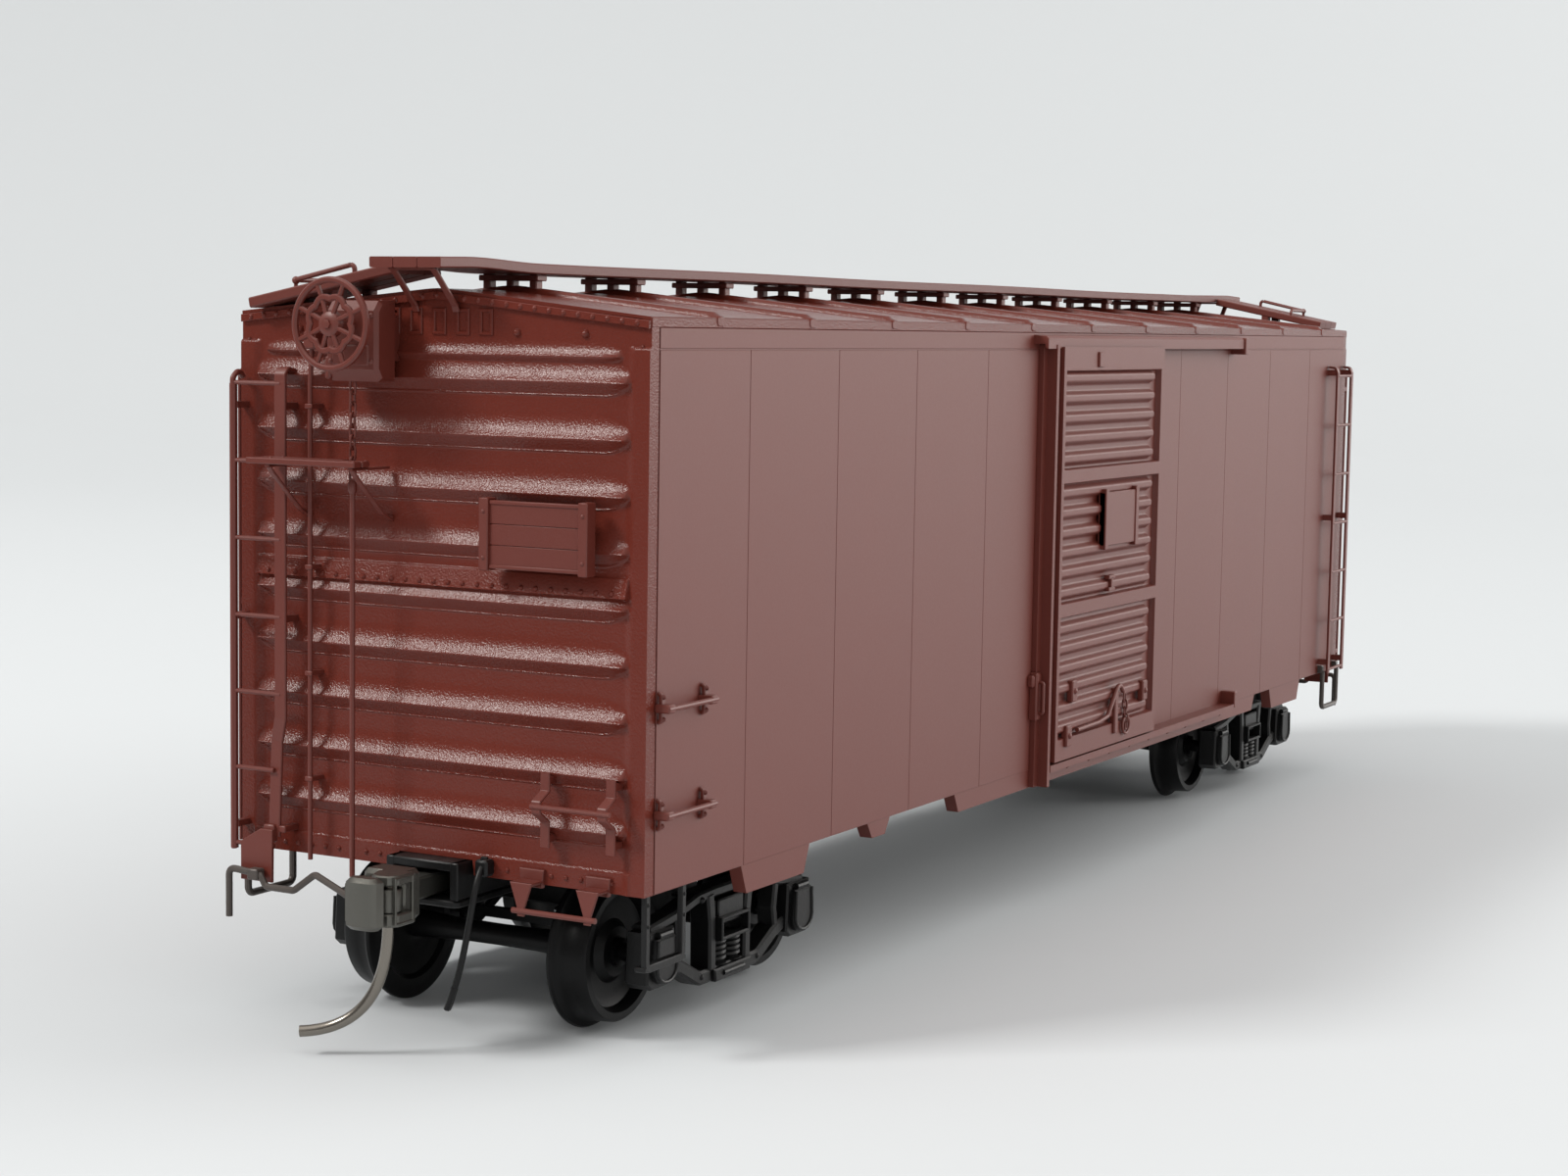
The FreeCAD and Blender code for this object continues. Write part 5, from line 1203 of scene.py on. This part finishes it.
def side_frames():
    """Cast side frame of a truck, mirrored for the other side: an arched top member, a tension member
    below, columns and braces as flat bars carried along bent paths, and at each axle a journal box
    with a slanted lid, its rim and its hinge."""
    piece = Piece()
    y, back, lid_face = FRAME_Y, 11.2, 13.47
    arch = [(2.2, 8.5), (4.2, 8.4), (7.4, 7.7), (10.6, 7.3)]
    top = [(-x, y, z) for x, z in arch[::-1]] + [(x, y, z) for x, z in arch]
    sweep(piece, bent_path(top, 2.5), flat_bar(1.5, 0.75, 0.16), side=(0, 1, 0))
    belly = [(4.0, 2.75), (6.6, 4.1), (8.2, 4.6)]
    low = [(-x, y, z) for x, z in belly[::-1]] + [(x, y, z) for x, z in belly]
    sweep(piece, bent_path(low, 1.6), flat_bar(1.6, 1.0, 0.18), side=(0, 1, 0))
    for end in (-1, 1):
        column = [(end * 2.75, y, 8.4), (end * 2.45, y, 6.4), (end * 2.4, y, 3.1)]
        sweep(piece, bent_path(column, 2.0), flat_bar(1.7, 0.9, 0.16), side=(0, 1, 0))
        brace = [(end * 6.9, y, 7.7), (end * 6.6, y, 5.8), (end * 6.9, y, 4.3)]
        sweep(piece, bent_path(brace, 1.0), flat_bar(1.4, 0.7, 0.14), side=(0, 1, 0))
        x = end * HALF_BASE
        case = [(x - 1.85, 3.85), (x - 1.3, 3.4), (x + 1.3, 3.4), (x + 1.85, 3.85), (x + 1.65, 7.3),
                (x - 1.65, 7.3)]
        slab(piece, case, "y", back, 13.05, 0.14)
        angle = np.linspace(0, math.pi, 9)
        lid = [(x - 1.4 * math.cos(a), 4.75 - 1.1 * math.sin(a)) for a in angle]
        slab(piece, lid + [(x + 1.2, 6.85), (x - 1.2, 6.85)], "y", 12.9, 13.45, 0.12)
        rim = [(x - 1.26 * math.cos(a), lid_face, 4.8 - 0.98 * math.sin(a)) for a in angle]
        rim = [(rim[0][0] + 0.12, lid_face, 6.75)] + rim + [(rim[-1][0] - 0.12, lid_face, 6.75)]
        sweep(piece, rim, circle(0.13, 8), side=(0, 1, 0))
        wire(piece, [(x - 0.8, 13.2, 7.05), (x + 0.8, 13.2, 7.05)], 0.26)
        studs(piece, [(end * 3.9, 12.75, 8.25), (end * 3.9, 12.75, 2.85)], "y", 1, 0.25, 0.2, around=9)
    plank = [(-2.4, 2.25), (2.4, 2.25), (2.6, 3.15), (-2.6, 3.15)]
    slab(piece, plank, "y", back, 13.1, 0.1)
    wire(piece, [(-1.4, 13.05, 2.75), (1.4, 13.05, 2.75)], 0.22)
    return piece.mirrored_y()


def truck_bolster():
    """Beam between the side frames, thicker in the middle under a round centre plate; each end is a
    block with two bars over a raised square rim that leaves a dark recess."""
    piece = Piece()
    half, shelf, top = 1.75, 6.6, 7.9
    block(piece, (-half, -12.7, 6.0), (half, 12.7, top), "y", 0.12)
    block(piece, (-1.9, -9.0, 6.0), (1.9, 9.0, 8.9), "y", 0.15)
    lathe(piece, [(8.6, 3.0), (8.85, 2.9), (8.9, 2.4)], (0, 0, 0), "z", 32)
    for side in (-1, 1):
        y = side * 12.95
        loop = [(-1.85, y, 5.2), (1.85, y, 5.2), (1.85, y, shelf), (-1.85, y, shelf)]
        sweep(piece, loop, flat_bar(0.7, 0.24, 0.07), side=(0, 1, 0), closed=True)
        block(piece, (-half, side * 12.2, shelf), (half, side * 12.85, top), "y", 0.1)
        for x in (-1.725, 1.725):
            wire(piece, [(x, side * 12.4, 6.2), (x, side * 12.4, 7.8)], 0.22)
    return piece


def truck_springs():
    """Two coil springs in each side frame: a helix of four turns round a dark core with a plate at
    either end."""
    piece = Piece()
    coils, foot, rise = 4, 3.4, 1.55
    turn = np.linspace(0, coils * 2 * math.pi, 80)
    core = [(3.2, 0.9), (3.3, 0.93), (3.38, 0.5), (5.0, 0.5), (5.1, 0.93), (5.2, 0.9)]
    for x in (-0.97, 0.97):
        for y in (-FRAME_Y, FRAME_Y):
            helix = spots(x + 0.72 * np.cos(turn), y + 0.72 * np.sin(turn), foot + rise * turn / turn[-1])
            sweep(piece, helix, circle(0.2, 7), side=(0, 0, 1))
            lathe(piece, core, (x, y, 0), "z", 20)
    return piece


def brake_beams():
    """Two brake beams with truss rods and hangers, and curved shoes that lie round the wheel treads."""
    piece = Piece()
    shoe_face, shoe_back = 4.95, 5.55
    angle = np.radians(np.linspace(-20, 20, 7))
    for end in (-1, 1):
        x = end * 3.6
        beam = [(x - 0.35, 5.0), (x + 0.35, 5.0), (x + 0.35, 5.7), (x - 0.35, 5.7)]
        slab(piece, beam, "y", -9.3, 9.3, 0.06)
        wire(piece, [(x, -7.0, 5.2), (end * 2.2, 0, 5.1), (x, 7.0, 5.2)], 0.25, 2.0)
        inner, outer = ([(end * (HALF_BASE - radius * math.cos(a)), AXLE_Z + radius * math.sin(a))
                         for a in angle] for radius in (shoe_face, shoe_back))
        for y in (-8.85, 8.85):
            slab(piece, inner + outer[::-1], "y", y - 0.55, y + 0.55, 0.06)
        for y in (-6.0, 6.0):
            strap(piece, [(x, y, 5.5), (x, y, 6.75), (end * 1.8, y, 6.75)], 0.55, 0.4, (0, 1, 0), 0.2)
    return piece


def wheels():
    """Two wheels: flange, tread, a dished plate and a hub, turned about the axle. The profile's first
    numbers count outwards from the back of the flange."""
    piece = Piece()
    back = 7.2
    hub_and_plate = [(0.0, 1.0), (-0.05, 1.7), (0.25, 2.2), (0.3, 3.7), (0.0, 4.0)]
    flange = [(0.0, 5.15), (0.12, 5.36), (0.3, 5.4), (0.5, 5.3), (0.65, 4.98)]
    tread = [(0.9, 4.82), (1.6, 4.79), (2.6, 4.72), (2.75, 4.6)]
    front = [(2.75, 4.1), (2.55, 3.95), (1.95, 3.8), (1.75, 3.0), (1.8, 2.2), (2.3, 1.7), (2.3, 1.0)]
    profile = [(back + out, radius) for out, radius in hub_and_plate + flange + tread + front]
    lathe(piece, profile, (0, 0, 0), "y", 96, closed=True)
    return piece.mirrored_y()


def axle():
    """Axle turned from a profile that repeats on either side of the middle, with pointed ends."""
    piece = Piece()
    half = [(-12.45, 0.05), (-11.4, 0.6), (-9.95, 0.6), (-9.9, 0.98), (-7.2, 1.0), (-6.4, 0.95),
            (-3.0, 0.78), (0.0, 0.75)]
    lathe(piece, half + [(-y, r) for y, r in half[-2::-1]], (0, 0, 0), "y", 32)
    return piece


class BOXCAR_OT_trucks(bpy.types.Operator):
    """Side frames, bolsters, springs, brake beams, wheels and axles of both trucks"""

    bl_idname = "boxcar.trucks"
    bl_label = "Trucks"

    def execute(self, context):
        plastic, black = black_plastic(), wheel_black()
        castings = (("frames", side_frames, "sideframes"), ("beam", truck_bolster, "bolster"),
                    ("coils", truck_springs, "springs"), ("shoes", brake_beams, "brake_beams"))
        for end, turn in (("b", None), ("a", HALF_TURN)):
            truck = "truck_" + end
            low, high = corners(truck + "_bolster")
            shift = ((low[0] + high[0]) / 2, 0, 0)
            for label, make, node in castings:
                piece = Piece().merge(make(), turn, shift)
                finish_piece(piece, f"{truck}_{label}", truck, plastic, [f"{truck}_{node}"])
            for place in ("outer", "inner"):
                low, high = corners(f"{truck}_{place}_wheels")
                shift = ((low[0] + high[0]) / 2, 0, AXLE_Z)
                body = f"wheelset_{end}_{place}"
                for label, make, node, slot in (("_discs", wheels, "wheels", "wheel_metal"),
                                                ("_shaft", axle, "axle", "axle_steel")):
                    piece = Piece().merge(make(), shift=shift)
                    finish_piece(piece, body + label, body, black, [f"{truck}_{place}_{node}"],
                                 sharp=36)
        return {"FINISHED"}


# ------------------------------------------------------------------ couplers


def coupler_head():
    """Shank with a round eye on the pivot, the head's block, its guard arm, two ears that hold the
    knuckle between them, and a thin frame on the open side."""
    piece = Piece()
    low, high = 9.75, 11.25
    block(piece, (-77.4, -0.7, low), (-68.2, 0.7, high), "x", 0.15)
    eye = [(low, 1.0), (low, 1.6), (low + 0.15, 1.7), (high - 0.15, 1.7), (high, 1.6), (high, 1.0)]
    lathe(piece, eye, (COUPLER_PIVOT_X, 0, 0), "z", 28)
    block(piece, (-78.0, -1.55, 8.85), (-75.9, 1.75, 12.15), "x", 0.3, 0.3)
    arm = [(-80.0, 1.1), (-79.4, 1.05), (-77.5, 1.0), (-77.2, 1.9), (-79.3, 1.95), (-79.95, 1.6)]
    slab(piece, arm, "z", 8.9, 11.6, 0.15)
    ear = [(-77.3, -2.0), (-77.3, 0.25), (-78.5, 0.25), (-79.35, -0.1), (-79.75, -0.75), (-79.6, -1.5),
           (-79.0, -2.0)]
    for foot, top in ((8.82, 9.68), (11.5, 12.18)):
        slab(piece, ear, "z", foot, top, 0.1)
    guard = [(-79.35, -1.93, 9.05), (-77.55, -1.93, 9.05), (-77.55, -1.93, 12.0), (-79.35, -1.93, 12.0)]
    sweep(piece, guard, flat_bar(0.26, 0.16, 0.05), side=(0, 1, 0), closed=True)
    block(piece, (-79.3, -0.2, 9.3), (-77.5, 0.5, 11.9), "z", 0.1)
    return piece


def knuckle():
    """Barrel on the knuckle's pivot, a short arm and a tall nose with eased edges."""
    piece = Piece()
    low, high = 9.75, 11.25
    barrel = [(low, 0.4), (low, 0.9), (low + 0.1, 0.95), (high - 0.1, 0.95), (high, 0.9), (high, 0.4)]
    lathe(piece, barrel, (-78.7, -0.9, 0), "z", 24)
    slab(piece, [(-78.6, -1.15), (-80.2, -1.1), (-80.3, -0.4), (-78.7, -0.2)], "z", low, high, 0.1)
    nose = [(-79.95, -1.35), (-80.1, -1.6), (-80.75, -1.5), (-81.05, -1.1), (-81.12, 0.1),
            (-80.95, 0.75), (-80.5, 0.95), (-80.0, 0.8), (-79.85, 0.3), (-79.8, -0.6)]
    slab(piece, nose, "z", 8.75, 12.15, 0.28)
    return piece


def trip_pin():
    """Bent wire on a cubic curve from the knuckle's foot down to the flat tip beside the rail."""
    piece = Piece()
    curve = cubic((-78.6, -0.85, 8.8), (-78.6, -0.8, 4.6), (-78.9, 0.9, 1.75), (-81.0, 4.45, 1.58), 34)
    path = np.concatenate([[(-78.6, -0.87, 12.1)], curve])
    sweep(piece, path, circle(0.38, 20), side=(0.6, 0.8, 0))
    return piece


def knuckle_spring():
    """Fine spring between knuckle and head: a helix of eight turns along the car."""
    piece = Piece()
    turn = np.linspace(0, 8 * 2 * math.pi, 130)
    helix = spots(-79.8 + 2.2 * turn / turn[-1], 0.5 + 0.25 * np.cos(turn), 10.5 + 0.25 * np.sin(turn))
    return sweep(piece, helix, circle(0.06, 6), side=(1, 0, 0))


def draft_box():
    """Draft box: two walls with flanges at the mouth, a roof, a back wall and the pivot post."""
    piece = Piece()
    mouth, back = -73.85, -63.05
    foot, top = 9.68, 12.2
    for side in (-1, 1):
        block(piece, (mouth, side * 2.32, foot), (back, side * 2.88, top), "x", 0.1)
        block(piece, (mouth - 0.03, side * 2.25, foot), (mouth + 0.55, side * 2.9, top), "x", 0.08)
    block(piece, (mouth, -2.85, top - 0.6), (back, 2.85, top), "x", 0.1)
    block(piece, (back - 0.55, -2.85, foot), (back, 2.85, top), "x", 0.1)
    lathe(piece, [(9.7, 0.85), (11.8, 0.88)], (COUPLER_PIVOT_X, 0, 0), "z", 24)
    return piece.half_round()


def box_lid():
    """Flat lid under the draft box with two low cross ribs."""
    piece = Piece()
    block(piece, (-73.88, -2.88, 9.17), (-63.02, 2.88, 9.64), "z", 0.1, 0.35)
    for x in (-72.0, -69.8):
        block(piece, (x, -2.2, 9.16), (x + 0.3, 2.2, 9.3), "z", 0.05)
    return piece.half_round()


def screws():
    """Round heads with a driving slot, one under each draft box and one under each truck's middle. A
    head's profile is a quarter of a flattened circle, and its shaft is half as wide."""
    piece = Piece()
    angle = np.linspace(0.15, math.pi / 2, 6)
    for x, bottom, radius, top in ((COUPLER_PIVOT_X, 8.65, 0.98, 12.5), (-BOLSTER_X, 4.92, 1.65, 11.8)):
        dome = [(bottom + 0.45 * (1 - math.sin(a)), max(radius * math.cos(a), 0.02)) for a in angle[::-1]]
        shaft = [(bottom + 0.55, radius), (bottom + 0.6, radius * 0.5), (top, radius * 0.5)]
        lathe(piece, dome + shaft, (x, 0, 0), "z", 28)
        slot_half = radius * 0.8
        block(piece, (x - slot_half, -0.12, bottom - 0.02), (x + slot_half, 0.12, bottom + 0.1), "z", 0.03)
    return piece.half_round()


def air_hose():
    """Moulded hose on a cubic curve beside the coupler, with its cock above and its metal end below."""
    piece = Piece()
    curve = cubic((-73.0, -4.3, 12.1), (-74.6, -4.5, 11.0), (-74.2, -4.2, 7.0), (-74.4, -2.7, 3.0), 24)
    sweep(piece, curve, circle(0.22, 12), side=(0, 1, 0))
    block(piece, (-73.3, -4.8, 11.4), (-72.3, -3.8, 12.5), "x", 0.15)
    handle = [(-73.1, -4.3, 12.4), (-73.1, -4.3, 12.66), (-73.1, -4.75, 12.66)]
    wire(piece, handle, 0.1, 0.08)
    tip = [curve[-3], curve[-1], curve[-1] + (0, 0.2, -0.45)]
    sweep(piece, tip, flat_bar(0.55, 0.42, 0.14), side=(1, 0, 0))
    return piece.half_round()


class BOXCAR_OT_couplers(bpy.types.Operator):
    """Couplers, knuckles, trip pins, draft boxes, screws and air hoses"""

    bl_idname = "boxcar.couplers"
    bl_label = "Couplers and hoses"

    def execute(self, context):
        metal, pin, plastic = coupler_metal(), pin_metal(), black_plastic()
        parts = (("coupler_head_", coupler_head, "coupler_", metal, "coupler_", "coupler_metal"),
                 ("coupler_coil_", knuckle_spring, "coupler_", pin, "knuckle_spring_", "pin_metal"),
                 ("knuckle_jaw_", knuckle, "knuckle_", metal, "knuckle_", "coupler_metal"),
                 ("knuckle_pin_", trip_pin, "knuckle_", pin, "trip_pin_", "pin_metal"))
        for end, turn in (("b", None), ("a", HALF_TURN)):
            for label, make, body, material, node, slot in parts:
                piece = Piece().merge(make(), turn)
                finish_piece(piece, label + end, body + end, material, [node + end], sharp=36)
        finish_piece(draft_box(), "draft_boxes", CAR, plastic, ["coupler_boxes"])
        finish_piece(box_lid(), "draft_lids", CAR, plastic, ["coupler_box_lids"])
        finish_piece(screws(), "screws", CAR, plain_steel(), ["mounting_screws"])
        finish_piece(air_hose(), "hoses", CAR, plastic, ["air_hoses"])
        return {"FINISHED"}


# ------------------------------------------------------------------ below the floor

FLOOR_Z = 12.2
DRUM_Z = 10.1


def cylinder_gear():
    """Brake cylinder: flanged drum with a domed end, bolts round its flange, and its push rod."""
    piece = Piece()
    y, z = 8.0, DRUM_Z
    drum = [(-24.95, 0.2), (-24.95, 0.8), (-24.6, 1.25), (-24.2, 1.35), (-22.0, 1.35), (-19.6, 1.35)]
    flange = [(-19.5, 1.48), (-19.0, 1.48), (-18.9, 1.3), (-18.6, 0.9), (-18.5, 0.5)]
    push_rod = [(-16.55, 0.45), (-16.5, 0.2)]
    lathe(piece, drum + flange + push_rod, (0, y, z), "x", 36)
    angle = full_turn(8)
    studs(piece, spots(-19.0, y + 1.3 * np.cos(angle), z + 1.3 * np.sin(angle)), "x", 1, 0.14, 0.12)
    for x in (-23.5, -20.3):
        block(piece, (x - 0.4, y - 1.1, z), (x + 0.4, y + 1.1, FLOOR_Z), "x", 0.1)
    return piece


def reservoir_gear():
    """Air reservoir: a drum with domed ends, a seam ring round its middle, and two straps."""
    piece = Piece()
    y, z, radius, middle = -8.0, DRUM_Z, 1.62, 22.5
    dome = [(17.0, 0.25), (17.08, 0.9), (17.4, 1.4), (17.9, radius)]
    ring = [(22.2, radius), (22.25, 1.7), (22.75, 1.7), (22.8, radius)]
    lathe(piece, dome + ring + [(2 * middle - x, r) for x, r in dome[::-1]], (0, y, z), "x", 36)
    bend = radius + 0.04
    arc = np.radians(np.linspace(0, -180, 17))
    for x in (18.9, 25.9):
        path = [(x, y + bend, 12.15)] + [(x, y + bend * math.cos(a), z + bend * math.sin(a)) for a in arc]
        sweep(piece, path + [(x, y - bend, 12.15)], flat_bar(0.6, 0.1, 0.03), side=(1, 0, 0))
    return piece


def valve_gear():
    """Control valve: a block with rounded corners, a turned cap on one end and four bolts below."""
    piece = Piece()
    block(piece, (4.55, 7.3, 9.7), (7.9, 9.7, FLOOR_Z), "z", 0.2)
    cap = [(7.8, 0.9), (8.2, 0.9), (8.25, 0.75), (8.8, 0.7), (9.05, 0.5), (9.1, 0.2)]
    lathe(piece, cap, (0, 8.5, 10.7), "x", 24)
    studs(piece, [(x, y, 9.7) for x in (5.0, 7.4) for y in (7.8, 9.2)], "z", -1, 0.2, 0.15, around=9)
    return piece


def rigging():
    """Brake lever on the push rod, the pull rod from it, the rod's hanger, and a pin at both ends."""
    piece = Piece()
    near, far = (-16.1, 10.9), (33.0, 7.0)
    lever = [(-16.4, 6.7), (-15.8, 6.7), (-15.7, 9.0), (-15.9, 11.15), (-16.3, 11.15), (-16.5, 9.0)]
    slab(piece, lever, "z", 9.7, 10.1, 0.06)
    wire(piece, [(*near, 9.9), (4.0, 10.9, 9.9), (*far, 9.9)], 0.18, 2.0)
    wire(piece, [(*far, 9.8), (*far, 12.2)], 0.2)
    for x, y in (near, far):
        lathe(piece, [(9.65, 0.2), (9.65, 0.38), (10.15, 0.38), (10.15, 0.2)], (x, y, 0), "z", 14)
    return piece


def floor_frame():
    """Floor sheet, centre sill with flanges and cover rivets, bolsters, bearers and stringers."""
    piece = Piece()
    sill_end, sill_foot = 62.9, 9.2
    edge = 15.3
    block(piece, (-71.28, -15.33, FLOOR_Z), (71.28, 15.33, FLOOR_Z + 0.98), "x", 0.06)
    for side in (-1, 1):
        sill = [(side * 2.1, sill_foot), (side * 1.6, sill_foot), (side * 1.6, 12.3), (side * 2.1, 12.3)]
        slab(piece, sill, "x", -sill_end, sill_end, 0.06)
        block(piece, (-sill_end, side * 1.5, sill_foot), (sill_end, side * 2.6, sill_foot + 0.25), "x", 0.06)
        for y in (6.0, 11.5):
            block(piece, (-71.2, side * y - 0.3, 11.4), (71.2, side * y + 0.3, 12.3), "x", 0.08)
    block(piece, (-sill_end, -1.7, 9.3), (sill_end, 1.7, 9.5), "x", 0.06)
    along = np.arange(-60.0, 60.5, 2.0)
    along = along[np.abs(np.abs(along) - BOLSTER_X) > 3.5]
    for y in (-2.35, 2.35):
        studs(piece, spots(along, y, 9.22), "z", -1, 0.16, 0.12)
    for x in (-BOLSTER_X, BOLSTER_X):
        beam = [(-edge, 12.25), (edge, 12.25), (edge, 11.4), (4.0, 10.65), (-4.0, 10.65), (-edge, 11.4)]
        slab(piece, beam, "x", x - 1.7, x + 1.7, 0.08)
        lathe(piece, [(8.95, 1.1), (8.95, 2.5), (9.1, 2.6), (11.0, 2.6), (11.0, 1.1)], (x, 0, 0), "z", 36)
    for x in (-39.2, -13.07, 13.07, 39.2):
        bearer = [(-edge, 12.25), (edge, 12.25), (edge, 11.5), (5.0, 10.35), (-5.0, 10.35), (-edge, 11.5)]
        slab(piece, bearer, "x", x - 0.2, x + 0.2, 0.05)
        for side in (-1, 1):
            flange = [(side * edge, 11.5), (side * 5.0, 10.35), (side * 5.0, 10.15), (side * edge, 11.3)]
            slab(piece, flange, "x", x - 0.55, x + 0.55, 0.04)
    return piece


class BOXCAR_OT_underside(bpy.types.Operator):
    """Floor frame and the air brake below it"""

    bl_idname = "boxcar.underside"
    bl_label = "Underside"

    def execute(self, context):
        plastic = black_plastic()
        for label, make, node in (
                ("floor_frame", floor_frame, "underframe"), ("drum_brake", cylinder_gear, "brake_cylinder"),
                ("drum_air", reservoir_gear, "air_reservoir"), ("valve_body", valve_gear, "control_valve"),
                ("pull_rods", rigging, "brake_rigging")):
            finish_piece(make(), label, CAR, plastic, [node])
        for name in ("side_left", "side_right"):
            dress(name, side_paint())
        dress("ballast_weight", plain_steel())
        dress("brake_pipe", plastic)
        return {"FINISHED"}


def dress(node, material):
    """Gives a CAD node that stays in sight its procedural finish."""
    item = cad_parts[node]
    item.data.materials.clear()
    item.data.materials.append(material)


# ------------------------------------------------------------------ stage and camera


class BOXCAR_OT_stage(bpy.types.Operator):
    """Pale floor that curves up into a backdrop, soft lights and the camera"""

    bl_idname = "boxcar.stage"
    bl_label = "Stage"

    def execute(self, context):
        scene = context.scene
        scene.view_settings.view_transform = "Standard"
        self.floor(scene)
        self.lights(scene)
        self.flag(scene)
        self.camera(scene)
        return {"FINISHED"}

    def floor(self, scene):
        """Level sheet whose far part lifts with t^2 of the distance t beyond the car."""
        half, count = sizes().floor_size / 2, 60
        edge = np.linspace(-half, half, count)
        u, v = np.meshgrid(edge, edge)
        reach = np.maximum(u * 0.87 + v * 0.48 - 0.55, 0)
        places = np.stack([u, v, reach ** 2 * 0.8], axis=-1).reshape(-1, 3)
        mesh = bpy.data.meshes.new("floor")
        mesh.from_pydata(places.tolist(), [], grid_quads(count, count, closed_columns=False).tolist())
        mesh.shade_smooth()
        mesh.materials.append(finish_material("floor", colours().floor, 0.6, mottle=0.004, specular=0.2))
        self.place(scene, bpy.data.objects.new("floor", mesh))

    def lights(self, scene):
        """A dim warm surround and three area lights, each with its place, aim, size and power."""
        world = bpy.data.worlds.new("studio")
        world.use_nodes = True
        background = world.node_tree.nodes["Background"]
        background.inputs["Color"].default_value = (1.0, 0.98, 0.945, 1)
        background.inputs["Strength"].default_value = 0.7
        scene.world = world
        for name, place, target, size, power in (
                ("overhead", (-0.25, -0.2, 1.5), (0, 0, 0.0), (1.8, 1.8), 7.0),
                ("right_panel", (1.3, -1.1, 0.55), (0.0, 0, 0.1), (1.6, 1.1), 24.0),
                ("end_panel", (-0.79, 0.62, 0.91), (-0.07, 0, 0.03), (0.32, 0.26), 11.5)):
            data = bpy.data.lights.new(name, "AREA")
            data.shape = "RECTANGLE"
            data.size, data.size_y = size
            data.energy = power
            data.color = (1.0, 0.975, 0.94)
            item = bpy.data.objects.new(name, data)
            item.location = place
            item.rotation_euler = (Vector(target) - Vector(place)).to_track_quat("-Z", "Y").to_euler()
            self.place(scene, item)

    def flag(self, scene):
        """Dark card low in front of the brake end: it is only seen mirrored in glossy paint. A thin
        upright block is turned about the upright axis and shifted out from the end."""
        piece = Piece()
        block(piece, (-2.0, -180.0, 1.0), (2.0, 180.0, 105.0), "x", 0.5)
        turn = np.array(Matrix.Rotation(math.radians(-28.8), 3, "Z"))
        places = np.concatenate(piece.places) @ turn.T + (-225.0, 84.0, 0.0)
        faces = np.concatenate(piece.quads).tolist() + [cap.tolist() for cap in piece.caps]
        mesh = bpy.data.meshes.new("flag")
        mesh.from_pydata((places * MM).tolist(), [], faces)
        cloth = finish_material("flag cloth", (0.09, 0.085, 0.085), 0.9, mottle=0.3, specular=0.05)
        mesh.materials.append(cloth)
        item = bpy.data.objects.new("flag", mesh)
        item.visible_camera = item.visible_diffuse = item.visible_shadow = False
        self.place(scene, item)

    def place(self, scene, item):
        """Links an object to the scene."""
        scene.collection.objects.link(item)

    def camera(self, scene):
        """Long lens low beside the brake end, aimed a little down along the right side."""
        data = bpy.data.cameras.new("camera")
        data.lens = 62.586
        data.sensor_width = 36.0
        data.clip_start, data.clip_end = 0.01, 20
        item = bpy.data.objects.new("camera", data)
        spot = Vector((-0.21831, -0.10581, 0.04766))
        forward = Vector((0.87366, 0.47703, -0.09573))
        up = Vector((0.07626, 0.06007, 0.99528))
        right = forward.cross(up).normalized()
        up = right.cross(forward).normalized()
        turn = Matrix((right, up, -forward.normalized())).transposed()
        item.matrix_world = Matrix.Translation(spot) @ turn.to_4x4()
        scene.collection.objects.link(item)
        scene.camera = item


# ------------------------------------------------------------------ panel and registration

OPERATORS = (BOXCAR_OT_stage, BOXCAR_OT_ends, BOXCAR_OT_sides, BOXCAR_OT_roof, BOXCAR_OT_roof_walk,
             BOXCAR_OT_doors, BOXCAR_OT_fittings, BOXCAR_OT_hand_brake, BOXCAR_OT_trucks,
             BOXCAR_OT_couplers, BOXCAR_OT_underside)


class BOXCAR_PT_panel(bpy.types.Panel):
    """Lists the car's sizes, colours and building steps"""

    bl_idname = "BOXCAR_PT_panel"
    bl_label = "Model box car"
    bl_space_type = "VIEW_3D"
    bl_region_type = "UI"
    bl_category = "Box Car"

    def draw(self, context):
        """Every size and colour, then a button for each building step."""
        layout = self.layout
        for settings in (context.scene.box_car_sizes, context.scene.box_car_colours):
            for name in settings.bl_rna.properties.keys():
                if name not in ("rna_type", "name"):
                    layout.prop(settings, name)
        for operator in OPERATORS:
            layout.operator(operator.bl_idname)


CLASSES = (BoxCarSizes, BoxCarColours, *OPERATORS, BOXCAR_PT_panel)


def register():
    """Registers the classes and hangs the settings on the scene."""
    for item in CLASSES:
        bpy.utils.register_class(item)
    bpy.types.Scene.box_car_sizes = bpy.props.PointerProperty(type=BoxCarSizes)
    bpy.types.Scene.box_car_colours = bpy.props.PointerProperty(type=BoxCarColours)


def unregister():
    """Takes the settings and classes away again."""
    del bpy.types.Scene.box_car_colours
    del bpy.types.Scene.box_car_sizes
    for item in reversed(CLASSES):
        bpy.utils.unregister_class(item)


def main():
    """Registers the add-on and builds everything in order."""
    register()
    bpy.ops.boxcar.stage()
    bpy.ops.boxcar.ends()
    bpy.ops.boxcar.sides()
    bpy.ops.boxcar.roof()
    bpy.ops.boxcar.roof_walk()
    bpy.ops.boxcar.doors()
    bpy.ops.boxcar.fittings()
    bpy.ops.boxcar.hand_brake()
    bpy.ops.boxcar.trucks()
    bpy.ops.boxcar.couplers()
    bpy.ops.boxcar.underside()
    bpy.context.view_layer.update()


if __name__ == "__main__":
    main()
